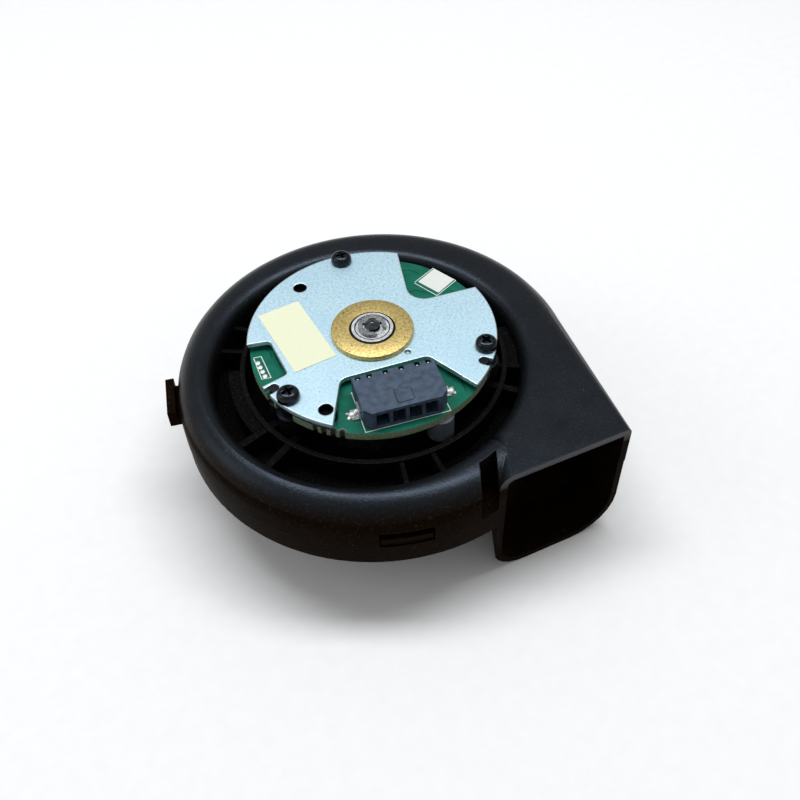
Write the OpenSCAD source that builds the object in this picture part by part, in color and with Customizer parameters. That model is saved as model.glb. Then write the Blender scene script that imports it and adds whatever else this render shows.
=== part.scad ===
// Centrifugal suction fan of a robot vacuum cleaner: a snail-shaped housing in two
// halves, an outer-rotor motor hung from a round steel plate, and an impeller below it.
// The motor axis is the Z axis, the base (intake mouth and foot of the outlet) is z = 0,
// and the air leaves the outlet along -Y. Millimetres.

/* [Volute housing] */
// Outer radius of the volute ring
volute_r = 39.1; // [38.6:0.1:40.2]
// Sideways offset of the ring from the motor axis
volute_dx = 0.7; // [0.2:0.1:1.2]
// Lengthwise offset of the ring from the motor axis
volute_dy = -0.1; // [-0.5:0.1:0.4]
// Wall thickness of both housing halves
wall = 1.5; // [1.2:0.1:1.7]
// Height of the underside of the ring above the base
ring_floor = 14.3; // [12.5:0.1:16]
// Height of the ring from its underside to the crest of its bead
ring_h = 15.2; // [14.5:0.1:16]
// Radius of the inner edge of the bead on top of the ring
bead_in = 29.7; // [29.3:0.1:30.2]
// Sideways offset of that edge from the motor axis
bead_dx = -1.6; // [-1.8:0.1:-1]
// Lengthwise offset of that edge from the motor axis
bead_dy = -1.7; // [-1.9:0.1:-1]
// Radius of the inner shoulder of the bead
shoulder_r = 3.0; // [2:0.1:3.4]
// Radius of the outer shoulder of the bead
outer_round = 5.5; // [4:0.1:5.8]
// Height of the lower cover's ring, from its underside to the parting line
cover_h = 5.7; // [5.2:0.1:6]
// Depth of the channel between bead and motor well, below the crest
channel_depth = 7.5; // [7.1:0.1:7.8]
// Thickness of the deck between the impeller and the motor well
deck_t = 1.2; // [1:0.1:1.4]
// Set-back of the lower cover's outer face at the parting line
seam_step = 0.15; // [0.05:0.05:0.3]

/* [Outlet] */
// Width of the outlet along its rim
outlet_w = 27; // [25.5:0.1:28]
// Distance of the rim's outer corner ahead of the motor axis
rim_reach = 31.2; // [30:0.1:33]
// Skew of the rim against square
rim_skew = 11; // [8:0.5:13]
// Angle at which the outer wall of the duct turns out
duct_splay = 2.3; // [1.5:0.1:3]
// Radius of the upper outer edge of the duct at the rim
rim_round = 1.2; // [0.8:0.1:2]
// Angle at which the inner wall of the duct flares out
duct_flare = 10.3; // [8:0.1:12]
// Length of the level floor behind the rim
level_floor = 8; // [6:0.5:10]
// Upper inner corner radius of the outlet
outlet_r_top_in = 2.8; // [2:0.1:4]
// Lower inner corner radius of the outlet
outlet_r_low_in = 6.5; // [5:0.5:8]
// Lower outer corner radius of the outlet
outlet_r_low_out = 9.5; // [7:0.5:11]

/* [Snaps and hook] */
// Width of a snap window
window_w = 9.6; // [8:0.1:11]
// Height of a snap window
window_h = 3.8; // [3.4:0.1:4.6]
// Height of a snap hook
hook_h = 1.7; // [1.4:0.1:2.4]
// Length of the hook on the side of the ring
side_hook_l = 9; // [7:0.5:11]
// Thickness of that hook's lip
side_hook_t = 1.6; // [1.2:0.1:2]
// Height of that hook
side_hook_h = 3.6; // [3:0.1:4.5]

/* [Motor plate and board] */
// Radius of the steel motor plate
plate_r = 23.9; // [23.7:0.1:24.2]
// Thickness of the motor plate
plate_t = 1.0; // [0.8:0.1:1.2]
// Height of the plate's top above the crest of the bead
plate_rise = 4.5; // [4.3:0.1:4.9]
// Radius of the circuit board
board_r = 23.5; // [23.3:0.1:23.7]
// Thickness of the circuit board
board_t = 1.6; // [1.2:0.1:1.6]
// Gap between board and plate
board_gap = 1.0; // [0.8:0.1:1.1]
// Distance of the plate screws from the motor axis
screw_reach = 22.0; // [21.9:0.1:22.2]
// Radius of a plate screw's thread
screw_r = 1.0; // [0.9:0.05:1.1]
// Radius of a plate screw's head
screw_head_r = 2.1; // [1.9:0.1:2.3]
// Height of a plate screw's head
screw_head_h = 1.9; // [1.5:0.1:2.2]
// Radius of a screw boss
boss_r = 2.5; // [2.4:0.05:2.5]

/* [Connector] */
// Pitch of the connector's contacts
contact_pitch = 3.0; // [2.8:0.05:3.2]
// Width of the connector body
header_w = 15.5; // [15:0.1:16]
// Depth of the connector body
header_d = 9.3; // [8.5:0.1:9.5]
// Height of the connector body
header_h = 4.4; // [4.2:0.1:4.8]

/* [Motor] */
// Shaft radius
shaft_r = 1.5; // [1.45:0.05:1.5]
// Outside radius of a ball bearing
bearing_r = 4.0; // [4:0.05:4.15]
// Width of a ball bearing
bearing_w = 4.0; // [3.8:0.1:4]
// Radius of a bearing ball
ball_r = 0.75; // [0.7:0.01:0.76]
// Radius of the brass sleeve's body
sleeve_r = 5.5; // [5.3:0.1:5.6]
// Radius of the brass sleeve's flange
flange_r = 7.9; // [7.2:0.1:8.2]
// Thickness of the brass sleeve's flange
flange_t = 1.05; // [0.9:0.05:1.3]
// Outside radius of the stator
stator_r = 15.3; // [14:0.1:15.3]
// Height of the stator's lamination stack
stack_h = 4.0; // [3.6:0.1:4.1]
// Number of stator teeth
teeth = 9; // [6:3:9]
// Width of a stator tooth
tooth_w = 2.0; // [1.8:0.1:2.2]
// Radial thickness of the magnet ring
magnet_t = 2.0; // [1.8:0.05:2]
// Sheet thickness of the rotor cup
cup_sheet = 0.8; // [0.6:0.05:0.8]

/* [Impeller] */
// Impeller radius
impeller_r = 29; // [28.5:0.1:29.1]
// Number of blades
blades = 11; // [7:1:13]
// Thickness of a blade
blade_t = 0.9; // [0.7:0.05:1.1]
// Radius of the arc that a blade follows
blade_arc = 19; // [18:0.5:21]
// Distance of that arc's centre from the motor axis
blade_offset = 15; // [14:0.5:16.5]
// Thickness of the impeller's back plate
back_t = 1.0; // [0.8:0.1:1.2]
// Thickness of the shroud
shroud_t = 0.8; // [0.7:0.05:1]
// Radius of the impeller's eye at mid-shroud
eye_r = 16.4; // [15.8:0.1:16.8]
// Radius of the bend from the eye to the shroud
eye_bend = 6; // [5.6:0.1:6.5]
// Slope of the shroud outside the bend
shroud_slope = 12; // [9:0.5:14]
// Radius of the intake mouth in the lower cover
intake_r = 17.0; // [16.4:0.1:17.3]
// Depth of that mouth before it widens round the impeller's eye
intake_l = 5.5; // [4:0.1:5.8]

/* [Clearances] */
// Gap between still pieces that slip into each other
slip = 0.02; // [0.01:0.01:0.04]
// Radial play in the ball tracks and pockets
ball_play = 0.05; // [0.03:0.01:0.06]
// Gap between the impeller and the housing
run_gap = 0.7; // [0.5:0.05:0.8]
// Gap between the rotor and the parts round it
rotor_gap = 0.8; // [0.7:0.05:0.85]
// Air gap of the motor
air_gap = 0.5; // [0.4:0.05:0.5]
// Gap between housing snaps and walls
snap_gap = 0.1; // [0.05:0.05:0.2]

/* [Hidden] */
$fn = 96;
eps = 0.01;

// Heights of the housing
bead_top = ring_floor + ring_h;
seam_z = ring_floor + cover_h;
channel_z = bead_top - channel_depth;
deck_bottom = channel_z - deck_t;
floor_in = ring_floor + wall;
volute_c = [volute_dx, volute_dy];
bead_c = [bead_dx, bead_dy];
far = 3 * volute_r;

// Outlet: the outer wall is tangent to the ring, the rim is skewed, the inner wall flares
duct_l = (volute_dy + volute_r * sin(duct_splay) + rim_reach) / cos(duct_splay);
rim_out = [volute_dx + volute_r * cos(duct_splay) + duct_l * sin(duct_splay), -rim_reach];
rim_in = rim_out - outlet_w * [cos(rim_skew), sin(rim_skew)];
tongue_az = 285;
ring_end = 300;
core_extra = 2;
core_lap = 1;
rim_over = 6;
floor_step = 0.3;
core_r = bead_in + wall + core_extra;
pocket_w = 3.2;
pocket_floor = 1.3;
pocket_lip = 0.4;
arc_steps = 6;
least_round = 0.1;
floor_round = 1.5;

// Heights of the motor plate and the board
plate_top = bead_top + plate_rise;
plate_bottom = plate_top - plate_t;
board_top = plate_bottom - board_gap;
board_bottom = board_top - board_t;

// Impeller and rotor, stacked upwards from the deck
impeller_top = deck_bottom - run_gap;
back_bottom = impeller_top - back_t;
shroud_edge = floor_in - shroud_t / 2;
bend_x = eye_r + eye_bend;
bend_z = shroud_edge - eye_bend * cos(shroud_slope)
    - (impeller_r - bend_x + eye_bend * sin(shroud_slope)) * tan(shroud_slope);
eye_lip = 1.2;
weld_gap = 0.05;
hub_flange_t = 0.7;
hub_flange_r = 7.5;
hub_r = 3.2;
hub_spigot = 0.5;
cup_floor = impeller_top + hub_flange_t + cup_sheet;
rotor_r = stator_r + air_gap + magnet_t + cup_sheet;
well_hole = rotor_r + rotor_gap;

// Bearings, sleeve and shaft
low_bearing = cup_floor + hub_spigot;
bearing_proud = 0.15;
high_bearing = plate_top + flange_t + bearing_proud - bearing_w;
bearing_step = 1.8;
spring_ledge = 1.2;
spring_seat = low_bearing + bearing_w + bearing_step;
pitch_r = (shaft_r + bearing_r) / 2;
track_r = ball_r + ball_play;
land = 0.5;
inner_land = pitch_r - land;
outer_land = pitch_r + land;
shield_t = 0.2;
shield_inset = 0.15;
balls = 7;
groove_depth = 0.35;
clip_t = 0.55;
clip_z = high_bearing + bearing_w + slip;
tip_over_clip = 0.95;
shaft_below = 6;
shaft_tip = clip_z + clip_t + tip_over_clip;
shaft_foot = impeller_top - shaft_below;

// Stator, centred in the rotor cup
coil_over = 1.0;
insulator_t = 0.4;
coil_gap = 1.1;
stack_low = cup_floor + coil_gap + coil_over + insulator_t;
stack_high = stack_low + stack_h;
stack_mid = (stack_low + stack_high) / 2;
coil_top = stack_high + insulator_t + coil_over;
coil_in = sleeve_r + 3.3;
coil_out = stator_r - 2.1;
coil_side = 1.5;
yoke_t = 2.7;
tip_t = 1.3;
slot_gap = 1.8;
cap_over = 0.3;

// Screw bosses with a locating peg beside each of the two front ones
screw_az = [for (i = [0:2]) -24.5 + 120 * i];
peg_step = -9.6;
peg_reach = screw_reach + 0.4;
peg_r = 0.85;
peg_foot_r = 1.3;
peg_drop = 0.1;
neck_r = boss_r - 0.5;
notch_gap = 0.2;
peg_az = [screw_az[0] + peg_step, screw_az[2] + peg_step];

// Motor well: a thin wall on the deck, raised lands and ribs in the channel
well_in = plate_r + 1.3;
well_t = 1.0;
well_out = well_in + well_t;
well_top = bead_top - 2.5;
land_top = well_top - 0.5;
land_out = well_out + 2.2;
land_az = [[173, 207], [-17, 5]];
rib_half = 6.5;
rib_in = screw_reach + 1.5;
rib_thick = 1.4;
rib_thin = 0.9;
rib_top = well_top - 0.4;

// Cut-outs of the motor plate: angle where each starts on the edge, its inner corners,
// angle where it ends, corner radius
plate_cuts = [
    [-114.5, [[-8.2, -10.6], [8.8, -8.8]], -50.7, 2],
    [73, [[8.9, 6.2]], 14, 3.5],
    [176, [[-19.4, 2.3], [-17.2, -7.0]], -158, 1]];
// Round holes of the motor plate: distance from the axis, angle, radius
plate_holes = [[19.7, 126.3, 1.35], [20.9, -124.8, 1.35], [8.7, -52.3, 0.6]];

// Snap windows, the snap tongues behind them and the hook on the ring's side
snap_az = [-94.6, 50, 146.5];
snap_sill = 0.4;
snap_t = 1.2;
hook_inset = 0.3;
window_bottom = seam_z + snap_sill;
side_hook_top = bead_top - 4.5;
side_hook_gap = 0.5;
side_hook_foot = 1.4;
side_hook_mid = 1.3;

// Connector on the board
header_c = [1.55, -17.1];
header_turn = 4.2;
contacts = 4;
cavity_w = 2.35;
cavity_h = 2.9;
cavity_d = 6.8;
cavity_z = 0.75;
pin_w = 0.64;
pin_z = cavity_z + cavity_h / 2;
notch_w = 1.0;
notch_d = 0.9;
corner_cut = 1.3;

// Distance from the motor axis of the driver chip and of the small parts on the board
chip_reach = 20.6;
part_reach = 21.2;

// Labels: both are blank
plate_label_size = [8.5, 17.3];
plate_label_c = [-14.3, 2.45];
plate_label_turn = 16.3;
board_label_size = 4.6;
board_label_c = [15.95, 13.35];
board_label_turn = -53.5;
paper_t = 0.1;

// Outline of a rectangle from a to b with its corners rounded: lower left, lower right,
// upper right, upper left
function corner_arc(c, r, a0, steps) = r <= 0 ? [c]
    : [for (i = [0:steps]) c + r * [cos(a0 + 90 * i / steps), sin(a0 + 90 * i / steps)]];
function corner_rect(a, b, radii, steps = arc_steps) = concat(
    corner_arc(a + radii[0] * [1, 1], radii[0], 180, steps),
    corner_arc([b.x, a.y] + radii[1] * [-1, 1], radii[1], 270, steps),
    corner_arc(b - radii[2] * [1, 1], radii[2], 0, steps),
    corner_arc([a.x, b.y] + radii[3] * [1, -1], radii[3], 90, steps));

// Points of a polygon with each corner turned into an arc of radius r
function arc_corner(p, q, s, r, steps = 6) =
    let (u = (p - q) / norm(p - q), v = (s - q) / norm(s - q))
    let (half = acos(u * v) / 2, mid = (u + v) / norm(u + v), c = q + mid * r / sin(half))
    let (a0 = atan2((q + u * r / tan(half) - c).y, (q + u * r / tan(half) - c).x))
    let (a1 = atan2((q + v * r / tan(half) - c).y, (q + v * r / tan(half) - c).x))
    let (turn = a1 - a0 > 180 ? a1 - a0 - 360 : a1 - a0 < -180 ? a1 - a0 + 360 : a1 - a0)
    [for (i = [0:steps]) c + r * [cos(a0 + turn * i / steps), sin(a0 + turn * i / steps)]];
function rounded(pts, r) = let (n = len(pts))
    [for (i = [0:n - 1]) each arc_corner(pts[(i + n - 1) % n], pts[i], pts[(i + 1) % n], r)];
function polar(r, a) = r * [cos(a), sin(a)];

module at_volute() {
    translate(volute_c) children();
}
module ring(r_in, r_out, h) {
    difference() {
        cylinder(r = r_out, h = h);
        translate([0, 0, -1]) cylinder(r = r_in, h = h + 2);
    }
}
module above(z) {
    translate([-far, -far, z]) cube([2 * far, 2 * far, far]);
}
module below(z) {
    translate([-far, -far, z - far]) cube([2 * far, 2 * far, far]);
}

// Everything outside the inner edge r of the bead and below its top, with that edge rounded
module outside_bead(c, r, top, edge_r) {
    translate(c) rotate_extrude()
        polygon(corner_rect([r, -1], [far, top], [0, 0, 0, edge_r]));
}

// What is taken off the upper outer edge of the duct: its rounding shrinks from the ring
// to the rim. The outer wall is at x and the top at z
module edge_rounding(x, z, r_ring, r_rim) {
    ends = [1, -duct_l - 1];
    sides = arc_steps + 4;
    points = [for (y = ends)
        let (r = max(r_ring + (r_rim - r_ring) * -y / duct_l, least_round))
        each concat([for (i = [0:arc_steps]) let (a = 90 * i / arc_steps)
            [x - r + r * cos(a), y, z - r + r * sin(a)]],
            [[x - r, y, z + 1], [x + 1, y, z + 1], [x + 1, y, z - r]])];
    walls = [for (i = [0:sides - 1]) let (j = (i + 1) % sides)
        [i, j, sides + j, sides + i]];
    first = [for (i = [sides - 1:-1:0]) i];
    last = [for (i = [0:sides - 1]) sides + i];
    polyhedron(points, concat(walls, [first, last]), convexity = 4);
}

// The duct as a solid, drawn in by inset from its faces and run past the rim by past. It
// is a bar along the outer wall, cut by the flaring inner wall, by the rim and by the ramp
// that drops from the ring to the foot of the outlet
module duct_block(inset, past, has_top = true) {
    high = bead_top - inset;
    rim_dir = [cos(rim_skew), sin(rim_skew)];
    outer_radii = [0, outlet_r_low_out - inset, 0, 0];
    inner_radii = [outlet_r_low_in - inset, 0, 0, outlet_r_top_in - inset];
    ramp_end = level_floor - duct_l;
    ramp_slope = -ring_floor / ramp_end;
    difference() {
        intersection() {
            at_volute() rotate(duct_splay) rotate([90, 0, 0]) linear_extrude(far)
                polygon(corner_rect([0, inset], [volute_r - inset, high], outer_radii));
            translate(rim_in) rotate(-duct_flare) translate([0, far, 0]) rotate([90, 0, 0])
                linear_extrude(2 * far)
                    polygon(corner_rect([inset, inset], [far, high], inner_radii));
            translate([0, 0, -1]) linear_extrude(far) polygon([
                rim_in - far * rim_dir - [0, past], rim_out + far * rim_dir - [0, past],
                [far, far], [-far, far]]);
            at_volute() rotate(duct_splay) translate([-far / 2, 0, 0]) rotate([90, 0, 90])
                linear_extrude(far) polygon([[ramp_end - far, inset - ramp_slope * far],
                    [far, inset + ramp_slope * (far - ramp_end)], [far, far],
                    [ramp_end - far, far]]);
        }
        if (has_top)
            at_volute() rotate(duct_splay) edge_rounding(volute_r - inset, high,
                outer_round - inset, rim_round - inset);
    }
}

// The ring about its own centre, from the outlet round to turn
module scroll_ring(r, z0, z1, low_r, high_r, turn) {
    at_volute() rotate(duct_splay) rotate_extrude(angle = turn - duct_splay)
        polygon(corner_rect([0, z0], [r, z1], [0, low_r, high_r, 0]));
}

// Line in section that the shroud follows, moved out by d from its middle, from drop
// below the bend to radius r
function shroud_line(d, drop, r) =
    let (run = eye_bend + d, turn = 90 - shroud_slope)
    let (slope = [bend_x - run * sin(shroud_slope), bend_z + run * cos(shroud_slope)])
    concat(drop > 0 ? [[bend_x - run, bend_z - drop]] : [],
        [for (i = [0:2 * arc_steps]) let (a = turn * i / (2 * arc_steps))
            [bend_x - run * cos(a), bend_z + run * sin(a)]],
        [[r, slope.y + (r - slope.x) * tan(shroud_slope)]]);

// Air inside the housing: impeller space with the intake, volute and duct
module impeller_space() {
    clear_r = impeller_r + run_gap;
    rotate_extrude() polygon(concat([[0, -1], [intake_r, -1], [intake_r, intake_l]],
        shroud_line(-shroud_t / 2 - run_gap, bend_z - intake_l, clear_r),
        [[clear_r, deck_bottom], [0, deck_bottom]]));
}
// The inner wall stands at radius core about c. Without has_top the roof is left plain, for
// the half that ends at the seam
module air_space(c, core, has_top) {
    impeller_space();
    intersection() {
        union() {
            scroll_ring(volute_r - wall, floor_in, bead_top - wall, 0, outer_round - wall,
                tongue_az);
            duct_block(wall, wall + rim_over, has_top);
        }
        outside_bead(c, core, bead_top - (has_top ? wall : 0), shoulder_r - wall);
    }
    translate([0, 0, floor_in - floor_step])
        cylinder(r = core_r + core_lap, h = deck_bottom - floor_in + floor_step);
}

// Upper half of the housing, with the motor well, its ribs and the screw bosses
module channel_ribs() {
    intersection() {
        translate(bead_c) cylinder(r = bead_in + wall / 3, h = far);
        for (i = [0:5], side = [-1, 1]) {
            t = i % 2 == 0 ? rib_thick : rib_thin;
            rotate(screw_az[0] + 60 * i + side * rib_half)
                translate([i % 2 == 0 ? rib_in : well_in, -t / 2, deck_bottom])
                    cube([far, t, rib_top - deck_bottom]);
        }
    }
}
module well_land(a0, a1) {
    rotate(a0) translate([0, 0, channel_z - eps]) rotate_extrude(angle = a1 - a0)
        translate([well_in + well_t / 2, 0])
            square([land_out - well_in - well_t / 2, land_top - channel_z]);
}
module screw_boss() {
    translate([screw_reach, 0, deck_bottom]) {
        cylinder(r = boss_r, h = board_bottom - deck_bottom);
        cylinder(r = neck_r, h = plate_bottom - deck_bottom);
    }
}
module locating_peg() {
    translate([peg_reach, 0, deck_bottom]) {
        cylinder(r = peg_foot_r, h = board_bottom - deck_bottom);
        cylinder(r = peg_r, h = plate_top - peg_drop - deck_bottom);
    }
}
module snap_window() {
    translate([volute_r - 2 * wall, -window_w / 2, window_bottom])
        cube([4 * wall, window_w, window_h]);
}
module side_hook() {
    lip = -volute_r - side_hook_gap - side_hook_t;
    low = side_hook_top - side_hook_h;
    translate([lip, side_hook_mid - volute_dy - side_hook_l / 2, 0]) {
        translate([0, 0, low]) cube([side_hook_t, side_hook_l, side_hook_h]);
        translate([0, 0, low])
            cube([side_hook_t + side_hook_gap + wall / 2, side_hook_l, side_hook_foot]);
    }
}
module tongue_pocket() {
    start = 5;
    difference() {
        translate([rim_in.x, rim_in.y, seam_z + pocket_floor]) rotate(-duct_flare)
            translate([-pocket_w, -start, 0]) cube([pocket_w, rim_reach / 2 + start, far]);
        translate(bead_c) cylinder(r = bead_in + shoulder_r + pocket_lip, h = far);
    }
}
module upper_housing() color("#23272e") {
    difference() {
        union() {
            difference() {
                intersection() {
                    union() {
                        scroll_ring(volute_r, seam_z - 1, bead_top, 0, outer_round, ring_end);
                        duct_block(0, 0);
                    }
                    outside_bead(bead_c, bead_in, bead_top, shoulder_r);
                    above(seam_z);
                }
                air_space(bead_c, bead_in + wall, true);
            }
            translate([bead_c.x, bead_c.y, deck_bottom])
                cylinder(r = bead_in + wall / 2, h = deck_t);
            translate([0, 0, deck_bottom]) ring(well_in, well_out, well_top - deck_bottom);
            for (a = land_az) well_land(a[0], a[1]);
            channel_ribs();
            for (a = screw_az) rotate(a) screw_boss();
            for (a = peg_az) rotate(a) locating_peg();
            at_volute() side_hook();
        }
        translate([0, 0, deck_bottom - 1]) cylinder(r = well_hole, h = deck_t + 2);
        for (a = screw_az) rotate(a) translate([screw_reach, 0, channel_z])
            cylinder(r = screw_r + slip, h = far);
        for (a = snap_az) at_volute() rotate(a) snap_window();
        tongue_pocket();
    }
}

// Lower half: ring floor, intake funnel, ramp of the duct and the snap tongues
module snap_tongue() {
    face = volute_r - wall - snap_gap;
    w = window_w - 4 * snap_gap;
    window_top = window_bottom + window_h;
    foot = floor_in - floor_step - eps;
    intersection() {
        union() {
            translate([0, 0, foot]) ring(face - snap_t, face, window_top - eps - foot);
            translate([0, 0, foot])
                ring(face - snap_t, face + wall / 2, seam_z - 2 * snap_gap - eps - foot);
            translate([0, 0, window_bottom + snap_gap])
                ring(face - snap_t, volute_r - hook_inset, hook_h);
        }
        translate([0, -w / 2, 0]) cube([far, w, far]);
    }
}
module intake_funnel() {
    wide = core_r - core_extra / 2;
    rotate_extrude() polygon(concat([[0, 0]],
        shroud_line(-shroud_t / 2 - run_gap - wall, bend_z, wide),
        [[wide, floor_in], [0, floor_in]]));
}
module lower_cover() color("#262a31") {
    difference() {
        union() {
            intersection() {
                union() {
                    scroll_ring(volute_r - seam_step, ring_floor, bead_top, floor_round, 0,
                        ring_end);
                    duct_block(seam_step, 0, false);
                }
                below(seam_z);
            }
            intake_funnel();
        }
        air_space([0, 0], core_r, false);
    }
    for (a = snap_az) at_volute() rotate(a) snap_tongue();
}

// Steel plate that carries the motor, with its three cut-outs
module edge_slot(r, reach) {
    translate([reach, 0]) circle(r);
    translate([reach, -r]) square([far, 2 * r]);
}
module motor_plate() color("#cfdde6") {
    out = 1.5 * plate_r;
    translate([0, 0, plate_bottom]) linear_extrude(plate_t) difference() {
        circle(plate_r);
        circle(sleeve_r + slip);
        for (c = plate_cuts)
            polygon(rounded(concat([polar(out, c[0])], c[1], [polar(out, c[2])]), c[3]));
        for (a = screw_az) rotate(a) translate([screw_reach, 0]) circle(screw_r + notch_gap);
        for (a = peg_az) rotate(a) edge_slot(peg_r + notch_gap / 2, peg_reach);
        for (h = plate_holes) translate(polar(h[0], h[1])) circle(h[2]);
    }
}

// Brass sleeve: flange on the plate, seats for both bearings, step for the spring
module bearing_sleeve() color("#c9a85c") {
    top = plate_top + flange_t;
    difference() {
        union() {
            translate([0, 0, low_bearing]) cylinder(r = sleeve_r, h = top - low_bearing);
            translate([0, 0, plate_top]) cylinder(r = flange_r, h = flange_t);
        }
        translate([0, 0, low_bearing - 1]) cylinder(r = bearing_r + slip, h = bearing_w + 1);
        translate([0, 0, low_bearing]) cylinder(r = bearing_r - spring_ledge, h = far);
        translate([0, 0, spring_seat]) cylinder(r = bearing_r + slip, h = far);
    }
}

// Circuit board with notches round the screw bosses and pegs and soldered edge pads
module circuit_board() color("#0b6b4a") {
    edge_pads = 4;
    edge_pad_r = 0.5;
    edge_pad_az = -127.5;
    edge_pad_step = 4.2;
    sleeve_clear = 1.5;
    translate([0, 0, board_bottom]) linear_extrude(board_t) difference() {
        circle(board_r);
        circle(sleeve_r + sleeve_clear);
        for (a = screw_az) rotate(a) edge_slot(neck_r + notch_gap, screw_reach);
        for (a = peg_az) rotate(a) edge_slot(peg_r + notch_gap, peg_reach);
        for (h = plate_holes) translate(polar(h[0], h[1])) circle(h[2]);
        for (i = [0:edge_pads - 1]) translate(polar(board_r, edge_pad_az + edge_pad_step * i))
            circle(edge_pad_r);
    }
}

// Right-angle power connector with four cavities, standing on the board
module on_header() {
    translate([header_c.x, header_c.y, board_top]) rotate(header_turn) children();
}
module each_contact() {
    for (i = [0:contacts - 1]) translate([(i - (contacts - 1) / 2) * contact_pitch, 0, 0])
        children();
}
module power_connector() color("#3b3f4e") {
    x = header_w / 2;
    y = header_d / 2;
    latch_bump = [2.6, 1.7, 0.16];
    latch_in = 1;
    side_notch_step = 2.15;
    side_notch = (contacts - 1) / 2 * contact_pitch + side_notch_step;
    on_header() difference() {
        union() {
            linear_extrude(header_h) polygon([[-x + corner_cut, -y], [x - corner_cut, -y],
                [x, -y + corner_cut], [x, y], [-x, y], [-x, -y + corner_cut]]);
            translate([-latch_bump.x / 2, -y + latch_in, header_h - eps]) cube(latch_bump);
        }
        each_contact() {
            translate([-cavity_w / 2, -y - 1, cavity_z]) cube([cavity_w, cavity_d + 1, cavity_h]);
            translate([-pin_w / 2 - slip, -y, pin_z - pin_w / 2 - slip])
                cube([pin_w + 2 * slip, 2 * header_d, pin_w + 2 * slip]);
            translate([-notch_w / 2, y - notch_d, -1]) cube([notch_w, header_d, header_h + 2]);
        }
        for (side = [-1, 1])
            translate([side * side_notch - notch_w / 2, y - notch_d, header_h / 2])
                cube([notch_w, header_d, header_h]);
    }
}
module connector_pins() color("#c9b27a") {
    y = header_d / 2;
    tail_gap = 0.1;
    tail_drop = 0.3;
    recess = 1.4;
    tail = y - notch_d + tail_gap;
    on_header() each_contact() {
        translate([-pin_w / 2, -y + recess, pin_z - pin_w / 2])
            cube([pin_w, tail + y - recess + pin_w, pin_w]);
        translate([-pin_w / 2, tail, 0]) cube([pin_w, pin_w, header_h - tail_drop]);
    }
}
module connector_solder_tabs() color("#d5d8da") {
    foot_w = 1.5;
    foot_l = 2.4;
    foot_y = -1.6;
    sheet = 0.35;
    on_header() for (side = [0, 1]) mirror([side, 0, 0])
        translate([header_w / 2 + slip, foot_y, 0]) {
            cube([foot_w, foot_l, sheet]);
            cube([sheet, foot_l, header_h / 2]);
        }
}

// Parts soldered to the underside of the board
module capacitor() color("#4a4e55") {
    can_r = 2.5;
    can_h = 5.4;
    rim = 0.4;
    can_az = -67.7;
    can_in = 1.7;
    rotate(can_az) translate([board_r - can_in, 0, board_bottom - can_h]) {
        cylinder(r1 = can_r - rim, r2 = can_r, h = rim);
        translate([0, 0, rim]) cylinder(r = can_r, h = can_h - rim);
    }
}
module under_board(r, a, size) {
    rotate(a) translate([r - size.x / 2, -size.y / 2, board_bottom - size.z]) cube(size);
}
module driver_chip() color("#1b1d20") {
    chip = [4, 4, 0.85];
    chip_az = 150;
    under_board(chip_reach, chip_az, chip);
}
module hall_sensors() color("#1b1d20") {
    magnet_mid = stator_r + air_gap + magnet_t / 2;
    body = [1.3, 2.9, 1.0];
    mid_az = 60;
    step_az = 360 / teeth;
    for (i = [-1:1]) under_board(magnet_mid, mid_az + step_az * i, body);
}
module surface_components() color("#8a7a5c") {
    small = [0.8, 1.6, 0.5];
    large = [1.2, 2.0, 0.6];
    for (i = [0:4]) under_board(part_reach, 10 + 15 * i, small);
    for (i = [0:3]) under_board(part_reach, 170 + 10 * i, small);
    for (i = [0:2]) under_board(part_reach, 240 + 12 * i, large);
}

// Stator: lamination stack, insulating end caps, one coil on each tooth
module each_tooth() {
    for (i = [0:teeth - 1]) rotate(i * 360 / teeth) children();
}
module stator_outline(w, tip, gap) {
    difference() {
        union() {
            circle(sleeve_r + yoke_t);
            each_tooth() translate([0, -w / 2]) square([stator_r - tip / 2, w]);
            difference() {
                circle(stator_r);
                circle(stator_r - tip);
                each_tooth() rotate(180 / teeth) translate([0, -gap / 2]) square([far, gap]);
            }
        }
        circle(sleeve_r + slip);
    }
}
module stator_core() color("#6d7074") {
    translate([0, 0, stack_low]) linear_extrude(stack_h) stator_outline(tooth_w, tip_t, slot_gap);
}
module stator_insulators() color("#e9e6dc") {
    for (z = [stack_low - insulator_t, stack_high]) translate([0, 0, z])
        linear_extrude(insulator_t)
            stator_outline(tooth_w + cap_over, tip_t + cap_over, slot_gap + cap_over);
}
module stator_windings() color("#b4622d") {
    hole = [tooth_w + cap_over + 2 * slip, stack_h + 2 * (insulator_t + slip)];
    out = hole + 2 * [coil_side, coil_over - slip];
    coil_round = 1;
    each_tooth() translate([coil_in, 0, stack_mid]) rotate([90, 0, 90])
        linear_extrude(coil_out - coil_in) difference() {
            polygon(corner_rect(-out / 2, out / 2, coil_round * [1, 1, 1, 1]));
            square(hole, center = true);
        }
}
module winding_leads() color("#b4622d") {
    lead_r = 0.3;
    for (i = [0:2]) rotate(i * 120) translate([(coil_in + coil_out) / 2, 0, coil_top])
        cylinder(r = lead_r, h = board_bottom - coil_top);
}

// Pan-head cross screws
module plate_screws() color("#26282b") {
    slot_w = 0.55;
    slot_l = 2.3;
    slot_depth = 1;
    head_round = 1.1;
    length = 8;
    for (a = screw_az) rotate(a) translate([screw_reach, 0, plate_top]) difference() {
        union() {
            rotate_extrude()
                polygon(corner_rect([0, 0], [screw_head_r, screw_head_h], [0, 0, head_round, 0]));
            translate([0, 0, -length]) cylinder(r = screw_r, h = length + slot_w);
        }
        for (turn = [45, 135]) rotate(turn)
            translate([-slot_l / 2, -slot_w / 2, screw_head_h - slot_depth])
                cube([slot_l, slot_w, 2 * slot_depth]);
    }
}

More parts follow.
